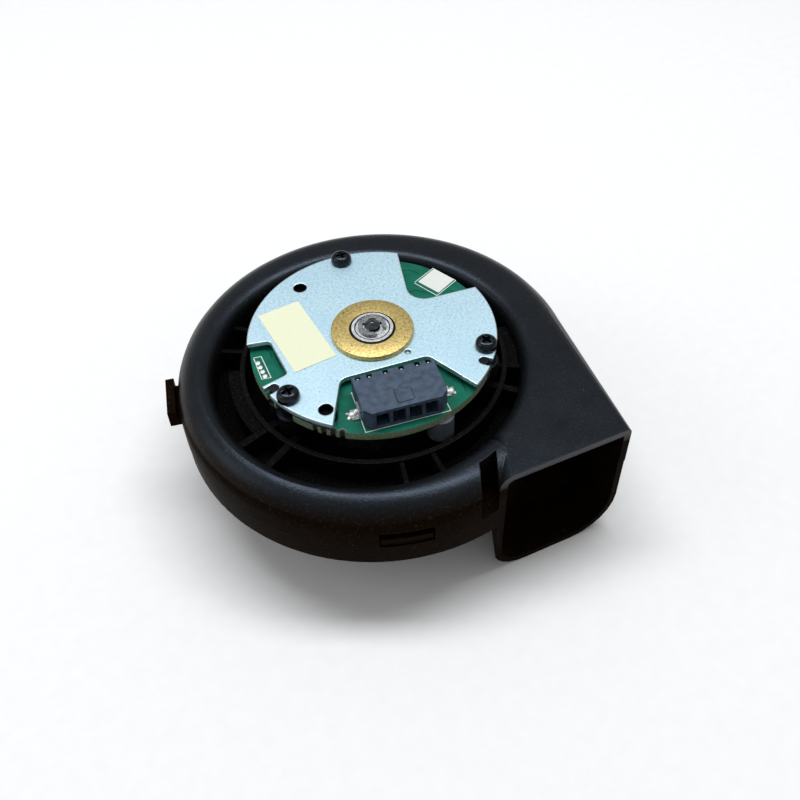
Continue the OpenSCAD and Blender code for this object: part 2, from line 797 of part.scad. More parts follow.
// Blank labels
module plate_label() color("#f4f7dd") {
    translate([plate_label_c.x, plate_label_c.y, plate_top]) rotate(plate_label_turn)
        translate(-plate_label_size / 2) cube([plate_label_size.x, plate_label_size.y, paper_t]);
}
module board_label() color("#f3f4f2") {
    translate([board_label_c.x, board_label_c.y, board_top]) rotate(board_label_turn)
        translate(-[1, 1] * board_label_size / 2)
            cube([board_label_size, board_label_size, paper_t]);
}

// Coil spring under the upper bearing
module preload_spring() color("#b9bdc2") {
    wire = 0.3;
    turns = 3.5;
    steps = 70;
    sides = 8;
    mean = bearing_r - 2 * wire;
    z0 = spring_seat + wire;
    z1 = high_bearing - wire;
    points = [for (i = [0:steps], j = [0:sides - 1])
        let (a = 360 * turns * i / steps, b = 360 * j / sides, r = mean + wire * cos(b))
        [r * cos(a), r * sin(a), z0 + (z1 - z0) * i / steps + wire * sin(b)]];
    side_faces = [for (i = [0:steps - 1], j = [0:sides - 1]) let (k = (j + 1) % sides)
        [i * sides + j, (i + 1) * sides + j, (i + 1) * sides + k, i * sides + k]];
    first = [for (j = [0:sides - 1]) j];
    last = [for (j = [0:sides - 1]) steps * sides + sides - 1 - j];
    polyhedron(points, concat(side_faces, [first, last]), convexity = 8);
}

// Ball bearing, made of rings, shields, balls and a cage
module ball_track() {
    translate([pitch_r, bearing_w / 2]) circle(track_r);
}
module outer_ring() {
    rotate_extrude() difference() {
        translate([outer_land, 0]) square([bearing_r - outer_land, bearing_w]);
        ball_track();
    }
}
module inner_ring() {
    rotate_extrude() difference() {
        translate([shaft_r + slip, 0]) square([inner_land - shaft_r - slip, bearing_w]);
        ball_track();
    }
}
module shields() {
    for (z = [shield_inset, bearing_w - shield_inset - shield_t]) translate([0, 0, z])
        ring(inner_land + ball_play, outer_land - slip, shield_t);
}
module ball_set(r) {
    for (i = [0:balls - 1]) rotate(i * 360 / balls) translate([pitch_r, 0, bearing_w / 2])
        sphere(r);
}
module cage() {
    cage_h = bearing_w / 2;
    difference() {
        translate([0, 0, (bearing_w - cage_h) / 2])
            ring(pitch_r - land / 2, pitch_r + land / 2, cage_h);
        for (i = [0:balls - 1]) rotate(i * 360 / balls)
            translate([inner_land, 0, bearing_w / 2]) rotate([0, 90, 0])
                cylinder(r = track_r, h = 2 * land);
    }
}
module upper_bearing_outer_ring() color("#c7cbd0") {
    translate([0, 0, high_bearing]) outer_ring();
}
module upper_bearing_shields() color("#b3b8bd") {
    translate([0, 0, high_bearing]) shields();
}
module upper_bearing_inner_ring() color("#c7cbd0") {
    translate([0, 0, high_bearing]) inner_ring();
}
module upper_bearing_balls() color("#dfe3e6") {
    translate([0, 0, high_bearing]) ball_set(ball_r);
}
module upper_bearing_cage() color("#a9adb2") {
    translate([0, 0, high_bearing]) cage();
}
module lower_bearing_outer_ring() color("#c7cbd0") {
    translate([0, 0, low_bearing]) outer_ring();
}
module lower_bearing_shields() color("#b3b8bd") {
    translate([0, 0, low_bearing]) shields();
}
module lower_bearing_inner_ring() color("#c7cbd0") {
    translate([0, 0, low_bearing]) inner_ring();
}
module lower_bearing_balls() color("#dfe3e6") {
    translate([0, 0, low_bearing]) ball_set(ball_r);
}
module lower_bearing_cage() color("#a9adb2") {
    translate([0, 0, low_bearing]) cage();
}

// Shaft with a groove for the retaining clip and a blunt tip
module shaft() color("#c4c8cc") {
    tip = 0.5;
    difference() {
        union() {
            translate([0, 0, shaft_foot]) cylinder(r = shaft_r, h = shaft_tip - tip - shaft_foot);
            translate([0, 0, shaft_tip - tip]) cylinder(r1 = shaft_r, r2 = shaft_r / 2, h = tip);
        }
        translate([0, 0, clip_z - slip])
            ring(shaft_r - groove_depth, 2 * shaft_r, clip_t + 2 * slip);
    }
}
module retaining_clip() color("#b8bcc1") {
    inner = shaft_r - groove_depth + slip;
    band = 0.8;
    outer = inner_land + band / 2 + ball_play;
    lug_w = 1.2;
    mouth = 2 * inner;
    mouth_az = -55;
    translate([0, 0, clip_z]) rotate(mouth_az) linear_extrude(clip_t) difference() {
        union() {
            difference() {
                circle(outer);
                circle(outer - band);
            }
            for (a = [90:90:270]) rotate(a) translate([inner, -lug_w / 2])
                square([outer - inner - band / 2, lug_w]);
        }
        translate([0, -mouth / 2]) square([far, mouth]);
    }
}

// Rotor: hub on the shaft, steel cup round the stator, magnet ring inside the cup
module rotor_hub() color("#c2a24e") {
    flange_bottom = impeller_top;
    difference() {
        union() {
            translate([0, 0, flange_bottom]) cylinder(r = hub_flange_r, h = hub_flange_t);
            translate([0, 0, shaft_foot]) cylinder(r = hub_r, h = cup_floor - shaft_foot);
            translate([0, 0, cup_floor - eps])
                cylinder(r = inner_land - slip, h = hub_spigot - slip);
        }
        translate([0, 0, shaft_foot - 1]) cylinder(r = shaft_r + slip, h = far);
    }
}
module rotor_cup() color("#8b9097") {
    over_stack = 0.7;
    high = stack_high + over_stack - cup_floor + cup_sheet;
    difference() {
        translate([0, 0, cup_floor - cup_sheet]) cylinder(r = rotor_r, h = high);
        translate([0, 0, cup_floor]) cylinder(r = rotor_r - cup_sheet, h = far);
        translate([0, 0, cup_floor - 2 * cup_sheet]) cylinder(r = hub_r + slip, h = far);
    }
}
module magnet_ring() color("#3a3c40") {
    outer = rotor_r - cup_sheet - slip;
    over_low = 0.8;
    over_high = 0.4;
    translate([0, 0, stack_low - over_low])
        ring(outer - magnet_t + slip, outer, stack_h + over_low + over_high);
}

// Impeller: back plate and nose with blades that curve away from the direction of turning
module blade_plan() {
    inner_r = 9;
    tip_inset = 0.3;
    intersection() {
        translate([blade_offset, 0]) difference() {
            circle(blade_arc + blade_t / 2);
            circle(blade_arc - blade_t / 2);
        }
        translate([-far, -2 * far]) square(2 * far);
        difference() {
            circle(impeller_r - tip_inset);
            circle(inner_r);
        }
    }
}
module blade_space() {
    inlet_r = 8;
    inlet_rise = 5;
    root = back_bottom + back_t / 2;
    rotate_extrude() polygon(concat([[inlet_r, bend_z + inlet_rise]],
        shroud_line(shroud_t / 2 + weld_gap, 0, impeller_r),
        [[impeller_r, root], [inlet_r, root]]));
}
module impeller() color("#2b2f36") {
    nose_r = hub_r + 2.4;
    nose_cap = 1.5;
    bevel = 1.4;
    nose_low = shaft_foot - nose_cap;
    difference() {
        union() {
            translate([0, 0, back_bottom]) cylinder(r = impeller_r, h = back_t);
            translate([0, 0, nose_low]) cylinder(r1 = nose_r - bevel, r2 = nose_r, h = bevel);
            translate([0, 0, nose_low + bevel])
                cylinder(r = nose_r, h = impeller_top - nose_low - bevel);
            intersection() {
                blade_space();
                translate([0, 0, bend_z - 1]) linear_extrude(far)
                    for (i = [0:blades - 1]) rotate(i * 360 / blades) blade_plan();
            }
        }
        translate([0, 0, shaft_foot - slip]) cylinder(r = hub_r + slip, h = far);
    }
}
module impeller_shroud() color("#30343b") {
    above = shroud_line(shroud_t / 2, eye_lip, impeller_r);
    below = shroud_line(-shroud_t / 2, eye_lip, impeller_r);
    rotate_extrude() polygon(concat(above, [for (i = [len(below) - 1:-1:0]) below[i]]));
}

upper_housing();
lower_cover();
motor_plate();
bearing_sleeve();
circuit_board();
power_connector();
connector_pins();
connector_solder_tabs();
capacitor();
driver_chip();
hall_sensors();
surface_components();
stator_core();
stator_insulators();
stator_windings();
winding_leads();
plate_screws();
plate_label();
board_label();
preload_spring();
upper_bearing_outer_ring();
upper_bearing_shields();
lower_bearing_outer_ring();
lower_bearing_shields();
shaft();
retaining_clip();
upper_bearing_inner_ring();
lower_bearing_inner_ring();
rotor_hub();
rotor_cup();
magnet_ring();
impeller();
impeller_shroud();
upper_bearing_balls();
upper_bearing_cage();
lower_bearing_balls();
lower_bearing_cage();
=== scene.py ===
# %% [markdown]
# # Suction fan of a robot vacuum cleaner
# The fan is a snail-shaped black housing with a motor sunk into its top. Its solids were
# drawn first as exact parts. Here they come in as a fixed frame, take on the look of real
# materials, and gain the small things that only the eye needs, such as solder, ink and the
# recess of a screw. The parts could be modelled again in Blender, but then the two models
# would drift apart, so every exact part stays as it is.

# %% Frame
import math

import bmesh
import bpy
from mathutils import Matrix, Vector


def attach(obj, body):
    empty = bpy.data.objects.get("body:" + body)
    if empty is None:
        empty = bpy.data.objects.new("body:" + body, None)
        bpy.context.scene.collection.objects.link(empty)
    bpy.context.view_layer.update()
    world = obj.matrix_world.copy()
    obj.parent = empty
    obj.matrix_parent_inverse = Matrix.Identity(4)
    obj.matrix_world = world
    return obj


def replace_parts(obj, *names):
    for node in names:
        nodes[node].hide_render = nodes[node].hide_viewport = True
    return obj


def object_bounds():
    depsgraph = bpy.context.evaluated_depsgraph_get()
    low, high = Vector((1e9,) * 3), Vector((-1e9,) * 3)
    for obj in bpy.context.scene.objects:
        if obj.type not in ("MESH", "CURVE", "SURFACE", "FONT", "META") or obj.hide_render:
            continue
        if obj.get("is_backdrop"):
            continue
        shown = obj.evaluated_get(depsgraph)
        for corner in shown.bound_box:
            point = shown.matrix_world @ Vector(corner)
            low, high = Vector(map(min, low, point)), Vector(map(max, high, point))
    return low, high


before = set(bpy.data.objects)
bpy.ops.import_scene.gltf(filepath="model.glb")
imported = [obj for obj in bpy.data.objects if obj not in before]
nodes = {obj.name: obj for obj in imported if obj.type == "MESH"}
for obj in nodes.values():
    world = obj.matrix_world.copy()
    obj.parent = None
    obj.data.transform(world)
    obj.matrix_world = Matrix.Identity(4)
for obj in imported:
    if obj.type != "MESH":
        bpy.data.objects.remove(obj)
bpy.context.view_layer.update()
MM = 0.001

# %% [markdown]
# ## Nodes and colours
# Materials, and the modifier that comes next, are networks of nodes. They could be wired by
# hand in Blender's editor, but a script can be read from top to bottom. One function adds
# any kind of node, with its options, values and links. Colours are picked as the eye sees
# them on a screen and turned into the linear values that light is counted in.

# %% Nodes and colours


def colour(code):
    """An sRGB hex colour as linear red, green, blue and a full alpha."""
    parts = [int(code[i:i + 2], 16) / 255 for i in (1, 3, 5)]
    return [c / 12.92 if c <= 0.04045 else ((c + 0.055) / 1.055) ** 2.4 for c in parts] + [1.0]


def connect(tree, node, links):
    """Leads the outputs of other nodes into a node's sockets."""
    for name, source in links.items():
        tree.links.new(source, node.inputs[name])


def add(tree, kind, values=None, links=None, stops=(), **options):
    """Adds one node to a tree: its options, socket values, links, and the stops of a ramp."""
    node = tree.nodes.new(kind)
    for name, value in options.items():
        setattr(node, name, value)
    for name, value in (values or {}).items():
        node.inputs[name].default_value = value
    connect(tree, node, links or {})
    if stops:
        spots = node.color_ramp.elements
        while len(spots) < len(stops):
            spots.new(0.5)
        for spot, (place, value) in zip(spots, stops):
            spot.position = place
            spot.color = colour(value) if isinstance(value, str) else (value, value, value, 1)
    return node


print("middle grey is", round(colour("#808080")[0], 3), "in linear light")

# %% [markdown]
# ## Smooth shading
# A moulded or turned surface is smooth, but the frame arrives as flat facets. Each piece
# gets a modifier that joins the facets and keeps an edge sharp only where two faces meet
# at a clear angle, which is what a mould's or a cutter's edge does to the light. The
# meshes could be marked smooth one by one, but a modifier leaves the exact parts untouched
# and one group of nodes serves them all.

# %% Smooth shading
SHARP_ANGLE = math.radians(28)
JOIN_GAP = 0.002 * MM

smooth = bpy.data.node_groups.new("smooth_by_angle", "GeometryNodeTree")
smooth.interface.new_socket("Geometry", in_out="INPUT", socket_type="NodeSocketGeometry")
smooth.interface.new_socket("Geometry", in_out="OUTPUT", socket_type="NodeSocketGeometry")
start = add(smooth, "NodeGroupInput")
plain = add(smooth, "GeometryNodeRemoveAttribute", {"Name": "custom_normal"},
            {"Geometry": start.outputs[0]})
joined = add(smooth, "GeometryNodeMergeByDistance", {"Distance": JOIN_GAP},
             {"Geometry": plain.outputs[0]})
angle = add(smooth, "GeometryNodeInputMeshEdgeAngle")
sharp = add(smooth, "FunctionNodeCompare", {"B": SHARP_ANGLE}, {"A": angle.outputs[0]},
            data_type="FLOAT", operation="GREATER_THAN")
faces = add(smooth, "GeometryNodeSetShadeSmooth", {"Shade Smooth": True},
            {"Geometry": joined.outputs[0]}, domain="FACE")
edges = add(smooth, "GeometryNodeSetShadeSmooth", {"Shade Smooth": False},
            {"Geometry": faces.outputs[0], "Selection": sharp.outputs[0]}, domain="EDGE")
add(smooth, "NodeGroupOutput", None, {"Geometry": edges.outputs[0]})

for piece in nodes.values():
    piece.modifiers.new("smooth", "NODES").node_group = smooth
print("smooth shading on", len(nodes), "pieces")

# %% [markdown]
# ## Starting a material
# Every material starts from the same bare setup: a surface shader and the coordinates of
# the real object in metres, so that a pattern's size can be given in millimetres. Pictures
# could be wrapped round the pieces, but patterns that are worked out from the place in
# space need no unwrapping and stay sharp close up.

# %% Starting a material


def per_mm(size):
    """Texture scale whose pattern repeats about every size millimetres."""
    return 1 / (size * MM)


def new_material(name, **surface):
    """A material with its surface shader; the words are the shader's own inputs."""
    material = bpy.data.materials.new(name)
    material.use_nodes = True
    tree = material.node_tree
    tree.nodes.clear()
    shader = add(tree, "ShaderNodeBsdfPrincipled",
                 {key.replace("_", " "): value for key, value in surface.items()})
    add(tree, "ShaderNodeOutputMaterial", None, {"Surface": shader.outputs[0]})
    return material, tree, shader, add(tree, "ShaderNodeTexCoord").outputs["Object"]


def paint(material, *names):
    """Puts a material on CAD pieces, in the slots they already have."""
    for name in names:
        for slot in nodes[name].material_slots:
            slot.material = material


print("a pattern of 0.5 mm has the scale", per_mm(0.5))

# %% [markdown]
# ## Black housing plastic
# The two halves of the housing are moulded from a tough black plastic in a spark-eroded
# mould. The erosion leaves a fine grain, so the surface takes wide soft highlights in
# place of mirror images, and the grain breaks them into tiny sparks. The crown of the bead
# and the top of the duct shine a little, with a painted cool blue tint on their highlights.
# The low walls are dull and painted dark and slightly brown, a painted shade with a painted
# warm reflection, and the hollow of the well is painted black as painted shade. Two
# materials with a painted border could show that; here the height and the distance from
# the axis choose the look, so there is no border to paint.

# %% Black housing plastic
# Below the first height the plastic turns dull and takes painted shade; above the second it shines, with a
# painted cool tint.
DULL_AND_SHADED_UP_TO, SHINY_FROM = 26.2 * MM, 28.8 * MM
WELL_R, WALL_R = 30.5 * MM, 33.0 * MM
MELT_CLOUD, DUST_GAP, WEAR, HOUSING_EDGE = 14, 2.6, 5, 0.25
# The real grain is about a tenth of a millimetre, too fine to show, so it is drawn coarser.
GRAIN, GRAIN_DEPTH = 0.4, 0.06


def housing_plastic(name, dark, light, low_painted_shade):
    """Eroded black plastic: dull with painted shade low down, shiny with a painted cool tint on top, with
    dust and a fine grain.
    """
    material, tree, shader, where = new_material(name, IOR=1.49)
    cloud = add(tree, "ShaderNodeTexNoise", {"Scale": per_mm(MELT_CLOUD), "Detail": 4}, {"Vector": where})
    body = add(tree, "ShaderNodeValToRGB", None, {"Fac": cloud.outputs["Fac"]},
               [(0.35, dark), (0.65, light)])
    height = add(tree, "ShaderNodeSeparateXYZ", None, {"Vector": where}).outputs["Z"]
    low = add(tree, "ShaderNodeMapRange", {"From Min": DULL_AND_SHADED_UP_TO, "From Max": SHINY_FROM,
                                           "To Min": 1.0, "To Max": 0.0}, {"Value": height})
    level = add(tree, "ShaderNodeVectorMath", {1: (1, 1, 0)}, {0: where}, operation="MULTIPLY")
    reach = add(tree, "ShaderNodeVectorMath", None, {0: level.outputs["Vector"]}, operation="LENGTH")
    outside = add(tree, "ShaderNodeMapRange", {"From Min": WELL_R, "From Max": WALL_R},
                  {"Value": reach.outputs["Value"]})
    # Painted shade: near black in the well and dark brown on the outer walls, low down.
    painted_shade = add(tree, "ShaderNodeMix", {"A": colour("#08090b"), "B": colour(low_painted_shade)},
                {"Factor": outside.outputs["Result"]}, data_type="RGBA")
    body_with_painted_shade = add(tree, "ShaderNodeMix", None, {"A": body.outputs["Color"], "B": painted_shade.outputs["Result"],
                                             "Factor": low.outputs["Result"]}, data_type="RGBA")
    grain = add(tree, "ShaderNodeTexNoise", {"Scale": per_mm(GRAIN), "Detail": 3}, {"Vector": where})
    crests = add(tree, "ShaderNodeValToRGB", None, {"Fac": grain.outputs["Fac"]},
                 [(0.56, 0.0), (0.75, 0.5)])
    grainy = add(tree, "ShaderNodeMix", {"B": colour("#34302a")},
                 {"A": body_with_painted_shade.outputs["Result"], "Factor": crests.outputs["Color"]}, data_type="RGBA")
    specks = add(tree, "ShaderNodeTexVoronoi", {"Scale": per_mm(DUST_GAP), "Randomness": 1.0},
                 {"Vector": where})
    dust = add(tree, "ShaderNodeValToRGB", None, {"Fac": specks.outputs["Distance"]},
               [(0.025, 0.35), (0.045, 0.0)])
    dusty = add(tree, "ShaderNodeMix", {"B": colour("#7d8288")},
                {"A": grainy.outputs["Result"], "Factor": dust.outputs["Color"]}, data_type="RGBA")
    shine = add(tree, "ShaderNodeValToRGB", None, {"Fac": low.outputs["Result"]},
                [(0.0, 0.38), (1.0, 0.005)])
    # Painted reflection colour: a cool blue tint on the highlights on top and a warm brown one low down.
    painted_reflection_tint = add(tree, "ShaderNodeValToRGB", None, {"Fac": low.outputs["Result"]},
               [(0.0, "#d0e5ff"), (1.0, "#b89a78")])
    wear = add(tree, "ShaderNodeTexNoise", {"Scale": per_mm(WEAR), "Detail": 6}, {"Vector": where})
    worn = add(tree, "ShaderNodeValToRGB", None, {"Fac": wear.outputs["Fac"]},
               [(0.3, 0.29), (0.7, 0.37)])
    edge = add(tree, "ShaderNodeBevel", {"Radius": HOUSING_EDGE * MM}, samples=6)
    bump = add(tree, "ShaderNodeBump", {"Distance": GRAIN_DEPTH * MM, "Strength": 0.7},
               {"Height": grain.outputs["Fac"], "Normal": edge.outputs["Normal"]})
    connect(tree, shader, {"Base Color": dusty.outputs["Result"], "Roughness": worn.outputs["Color"],
                           "Specular IOR Level": shine.outputs["Color"],
                           "Specular Tint": painted_reflection_tint.outputs["Color"], "Normal": bump.outputs["Normal"]})
    return material


# The last colour of each is the painted shade of its low outer walls.
upper_plastic = housing_plastic("abs_black_eroded_mould", "#0b0c0e", "#111316", "#140c06")
paint(upper_plastic, "upper_housing")
lower_plastic = housing_plastic("abs_black_cover_mould", "#0b0b0c", "#121213", "#140d07")
paint(lower_plastic, "lower_cover")
fan_plastic = housing_plastic("nylon_black_impeller_mould", "#181a1e", "#22252a", "#181a1e")
paint(fan_plastic, "impeller", "impeller_shroud")
print("moulded: two halves of the housing, the impeller and its shroud")

# %% [markdown]
# ## Zinc-plated sheet steel
# The motor plate is stamped from rolled sheet. Zinc plating gives it a bluish white,
# slightly cloudy shine: broad highlights that are brighter than paint but never a mirror.
# The stamp leaves the edges rounded. Real roundings could be cut into the mesh, but the
# exact part may not change, so the shader rounds the edge in the light only, and where
# that rounding leans away from the face the zinc is smoother and painted nearly white,
# a painted highlight along the edge.

# %% Zinc-plated sheet steel
ROLLED_CLOUD, PIT_GAP, PLATE_EDGE = 9, 1.1, 0.35
# The crystals of real zinc plating are too fine to show, so they are drawn coarser.
SPANGLE, SPANGLE_DEPTH = 0.5, 0.006

zinc, tree, shader, where = new_material("steel_zinc_plated_stamped", Metallic=1.0)
cloud = add(tree, "ShaderNodeTexNoise", {"Scale": per_mm(ROLLED_CLOUD), "Detail": 4}, {"Vector": where})
broad = add(tree, "ShaderNodeValToRGB", None, {"Fac": cloud.outputs["Fac"]},
            [(0.3, "#c4e1ee"), (0.7, "#cee8f2")])
spangle = add(tree, "ShaderNodeTexNoise", {"Scale": per_mm(SPANGLE), "Detail": 3}, {"Vector": where})
mottle = add(tree, "ShaderNodeValToRGB", None, {"Fac": spangle.outputs["Fac"]},
             [(0.4, 0.35), (0.6, 0.0)])
sheet = add(tree, "ShaderNodeMix", {"B": colour("#a3c2d2")},
            {"A": broad.outputs["Color"], "Factor": mottle.outputs["Color"]}, data_type="RGBA")
specks = add(tree, "ShaderNodeTexVoronoi", {"Scale": per_mm(PIT_GAP), "Randomness": 1.0},
             {"Vector": where})
pits = add(tree, "ShaderNodeValToRGB", None, {"Fac": specks.outputs["Distance"]},
           [(0.05, 0.85), (0.13, 0.0)])
pitted = add(tree, "ShaderNodeMix", {"B": colour("#76858f")},
             {"A": sheet.outputs["Result"], "Factor": pits.outputs["Color"]}, data_type="RGBA")

edge = add(tree, "ShaderNodeBevel", {"Radius": PLATE_EDGE * MM}, samples=8)
flat = add(tree, "ShaderNodeNewGeometry")
lean = add(tree, "ShaderNodeVectorMath", None, {0: edge.outputs["Normal"], 1: flat.outputs["Normal"]},
           operation="DOT_PRODUCT")
edge_highlight_mask = add(tree, "ShaderNodeValToRGB", None, {"Fac": lean.outputs["Value"]},
             [(0.9, 1.0), (0.985, 0.0)])
# Painted highlight: the rounded edges are painted nearly white.
with_painted_edge_highlight = add(tree, "ShaderNodeMix", {"B": colour("#f4f8fa")},
           {"A": pitted.outputs["Result"], "Factor": edge_highlight_mask.outputs["Color"]}, data_type="RGBA")
matt = add(tree, "ShaderNodeValToRGB", None, {"Fac": spangle.outputs["Fac"]},
           [(0.3, 0.52), (0.7, 0.64)])
sheen = add(tree, "ShaderNodeMix", {"B": 0.3},
            {"A": matt.outputs["Color"], "Factor": edge_highlight_mask.outputs["Color"]}, data_type="FLOAT")
bump = add(tree, "ShaderNodeBump", {"Distance": SPANGLE_DEPTH * MM, "Strength": 0.3},
           {"Height": spangle.outputs["Fac"], "Normal": edge.outputs["Normal"]})
connect(tree, shader, {"Base Color": with_painted_edge_highlight.outputs["Result"], "Roughness": sheen.outputs["Result"],
                       "Normal": bump.outputs["Normal"]})
paint(zinc, "motor_plate")
print("zinc-plated: the motor plate")

# %% [markdown]
# ## Turned brass
# The bearing sleeve and the hub are turned on a lathe. The tool leaves fine rings round
# the axis that stretch each highlight a little, and handling leaves stains and dark specks.
# The rings could be cut as real grooves, but they are finer than a hair, so a wave texture
# raises them in the light only.

# %% Turned brass
STAIN, SPOT_GAP, BRASS_EDGE = 0.5, 1.4, 0.15
# Real rings are about 0.05 mm apart, too fine to show, so they are drawn coarser.
RING_PITCH, RING_DEPTH = 0.22, 0.005
# A wave texture of scale 1 repeats every 0.314 units.
WAVE_LENGTH = 0.314

brass, tree, shader, where = new_material("brass_turned", Metallic=1.0, Anisotropic=0.2,
                                          Anisotropic_Rotation=0.25)
rings = add(tree, "ShaderNodeTexWave", {"Scale": WAVE_LENGTH * per_mm(RING_PITCH), "Distortion": 0.6},
            {"Vector": where}, wave_type="RINGS", rings_direction="Z")
stain = add(tree, "ShaderNodeTexNoise", {"Scale": per_mm(STAIN), "Detail": 5}, {"Vector": where})
bright = add(tree, "ShaderNodeValToRGB", None, {"Fac": stain.outputs["Fac"]},
             [(0.32, "#b29c5e"), (0.5, "#d2bc7b"), (0.68, "#e4d294")])
specks = add(tree, "ShaderNodeTexVoronoi", {"Scale": per_mm(SPOT_GAP), "Randomness": 1.0},
             {"Vector": where})
spots = add(tree, "ShaderNodeValToRGB", None, {"Fac": specks.outputs["Distance"]},
            [(0.08, 0.85), (0.14, 0.0)])
spotted = add(tree, "ShaderNodeMix", {"B": colour("#5f4c22")},
              {"A": bright.outputs["Color"], "Factor": spots.outputs["Color"]}, data_type="RGBA")
tooled = add(tree, "ShaderNodeValToRGB", None, {"Fac": rings.outputs["Fac"]},
             [(0.2, 0.44), (0.8, 0.54)])
edge = add(tree, "ShaderNodeBevel", {"Radius": BRASS_EDGE * MM}, samples=4)
bump = add(tree, "ShaderNodeBump", {"Distance": RING_DEPTH * MM, "Strength": 0.5},
           {"Height": rings.outputs["Fac"], "Normal": edge.outputs["Normal"]})
round_axis = add(tree, "ShaderNodeTangent", direction_type="RADIAL", axis="Z")
connect(tree, shader, {"Base Color": spotted.outputs["Result"], "Roughness": tooled.outputs["Color"],
                       "Normal": bump.outputs["Normal"], "Tangent": round_axis.outputs["Tangent"]})
paint(brass, "rotor_hub")
print("turned: the rotor hub, and the sleeve to come")

# %% [markdown]
# ## Circuit board
# The board is glass-fibre laminate, copper and a green lacquer called solder resist. The
# lacquer has a soft sheen and is paler over copper than over the bare board, so there are
# two shades of it. The sawn edge shows the greyish laminate. The edge could have a slot of
# its own, but the board is one solid with one slot, so the way a face points decides: what
# looks up or down is lacquer, and what looks sideways is laminate.

# %% Circuit board
LACQUER_CLOUD, WEAVE, WEAVE_DEPTH = 2, 0.3, 0.01


def resist(name, dark, light):
    """Green lacquer on top and bottom, greyish laminate on the sawn edge."""
    material, tree, shader, where = new_material(name, IOR=1.5, Roughness=0.4, Specular_IOR_Level=0.2)
    cloud = add(tree, "ShaderNodeTexNoise", {"Scale": per_mm(LACQUER_CLOUD), "Detail": 3},
                {"Vector": where})
    lacquer = add(tree, "ShaderNodeValToRGB", None, {"Fac": cloud.outputs["Fac"]},
                  [(0.35, dark), (0.65, light)])
    weave = add(tree, "ShaderNodeTexNoise", {"Scale": per_mm(WEAVE), "Detail": 2}, {"Vector": where})
    sawn = add(tree, "ShaderNodeValToRGB", None, {"Fac": weave.outputs["Fac"]},
               [(0.35, "#64785f"), (0.65, "#8c9b80")])
    points = add(tree, "ShaderNodeNewGeometry").outputs["True Normal"]
    up = add(tree, "ShaderNodeSeparateXYZ", None, {"Vector": points}).outputs["Z"]
    level = add(tree, "ShaderNodeMath", None, {0: up}, operation="ABSOLUTE")
    mixed = add(tree, "ShaderNodeMix", None, {"A": sawn.outputs["Color"], "B": lacquer.outputs["Color"],
                                              "Factor": level.outputs[0]}, data_type="RGBA")
    bump = add(tree, "ShaderNodeBump", {"Distance": WEAVE_DEPTH * MM, "Strength": 0.25},
               {"Height": weave.outputs["Fac"]})
    connect(tree, shader, {"Base Color": mixed.outputs["Result"], "Normal": bump.outputs["Normal"]})
    return material


board_resist = resist("laminate_green_resist_over_copper", "#08614d", "#0b6e58")
paint(board_resist, "circuit_board")
print("lacquered: the circuit board")

# %% [markdown]
# ## Plastic, paper and ceramic
# Most of the other pieces share a recipe: two near colours in a faint cloud, a roughness
# that says how the surface was made, and edges that look worn round. Each could have a
# network of its own, but on pieces of a few millimetres the eye reads little more than
# colour and shine, so one function makes them all.

# %% Plastic, paper and ceramic


def even_finish(name, dark, light, size, rough, depth=0.002, edge=0.05, **surface):
    """A cloud of two near colours, with a relief and edges worn round; size, depth, edge in mm."""
    material, tree, shader, where = new_material(name, **surface)
    cloud = add(tree, "ShaderNodeTexNoise", {"Scale": per_mm(size), "Detail": 4}, {"Vector": where})
    body = add(tree, "ShaderNodeValToRGB", None, {"Fac": cloud.outputs["Fac"]},
               [(0.35, dark), (0.65, light)])
    sheen = add(tree, "ShaderNodeValToRGB", None, {"Fac": cloud.outputs["Fac"]},
                [(0.3, rough * 0.85), (0.7, rough * 1.15)])
    worn = add(tree, "ShaderNodeBevel", {"Radius": edge * MM}, samples=4)
    bump = add(tree, "ShaderNodeBump", {"Distance": depth * MM, "Strength": 0.5},
               {"Height": cloud.outputs["Fac"], "Normal": worn.outputs["Normal"]})
    connect(tree, shader, {"Base Color": body.outputs["Color"], "Roughness": sheen.outputs["Color"],
                           "Normal": bump.outputs["Normal"]})
    return material


# Moulded dark nylon; its slate-blue colour and cool specular tint are partly a painted reflection of the
# cool light on its flat lid.
nylon_with_painted_sheen = even_finish("nylon_dark_painted_cool_sheen", "#1f2a37", "#374659", 1.3, 0.5, 0.006, 0.12, IOR=1.53,
                    Specular_IOR_Level=1.0, Specular_Tint=colour("#cfe2ff"))
paint(nylon_with_painted_sheen, "power_connector")
# A shrunk polyester sleeve is an even, satin grey.
paint(even_finish("pet_grey_sleeve_shrunk", "#535b63", "#626a72", 1.5, 0.4, IOR=1.57), "capacitor")
# Moulded epoxy is black and dull, with a fine grit.
resin = even_finish("epoxy_black_moulded", "#16181a", "#1e2022", 0.4, 0.55, 0.005, IOR=1.55)
paint(resin, "driver_chip", "hall_sensors")
# Nylon without a dye is creamy and half dull.
paint(even_finish("nylon_natural_moulded", "#d8d4c6", "#e6e2d6", 1.2, 0.5, IOR=1.53), "stator_insulators")
# Coated label paper is pale and matt.
paint(even_finish("paper_cream_label_coated", "#eaeecd", "#f0f3d6", 0.25, 0.6, 0.004, IOR=1.45),
      "plate_label")
# Fired ceramic is tan, with a faint gloss.
paint(even_finish("ceramic_tan_fired", "#7c6b4d", "#947f5e", 0.5, 0.5, IOR=1.6), "surface_components")
# Bonded ferrite, ground to size, is a dull dark grey.
paint(even_finish("ferrite_bonded_ground", "#2f3134", "#3d4043", 0.7, 0.55), "magnet_ring")
print("finished: connector, capacitor, chips, insulators, label, small parts and magnet")

# %% [markdown]
# ## Steel, tin and copper
# The same recipe makes the metals. On a metal the colour is the colour of its reflection,
# and the roughness tells how it was worked: tinned strip and enamelled wire are smooth,
# ground steel is satin, and pressed sheet is duller. Scratches could be drawn one by one,
# but at this size a slightly uneven roughness does the same.

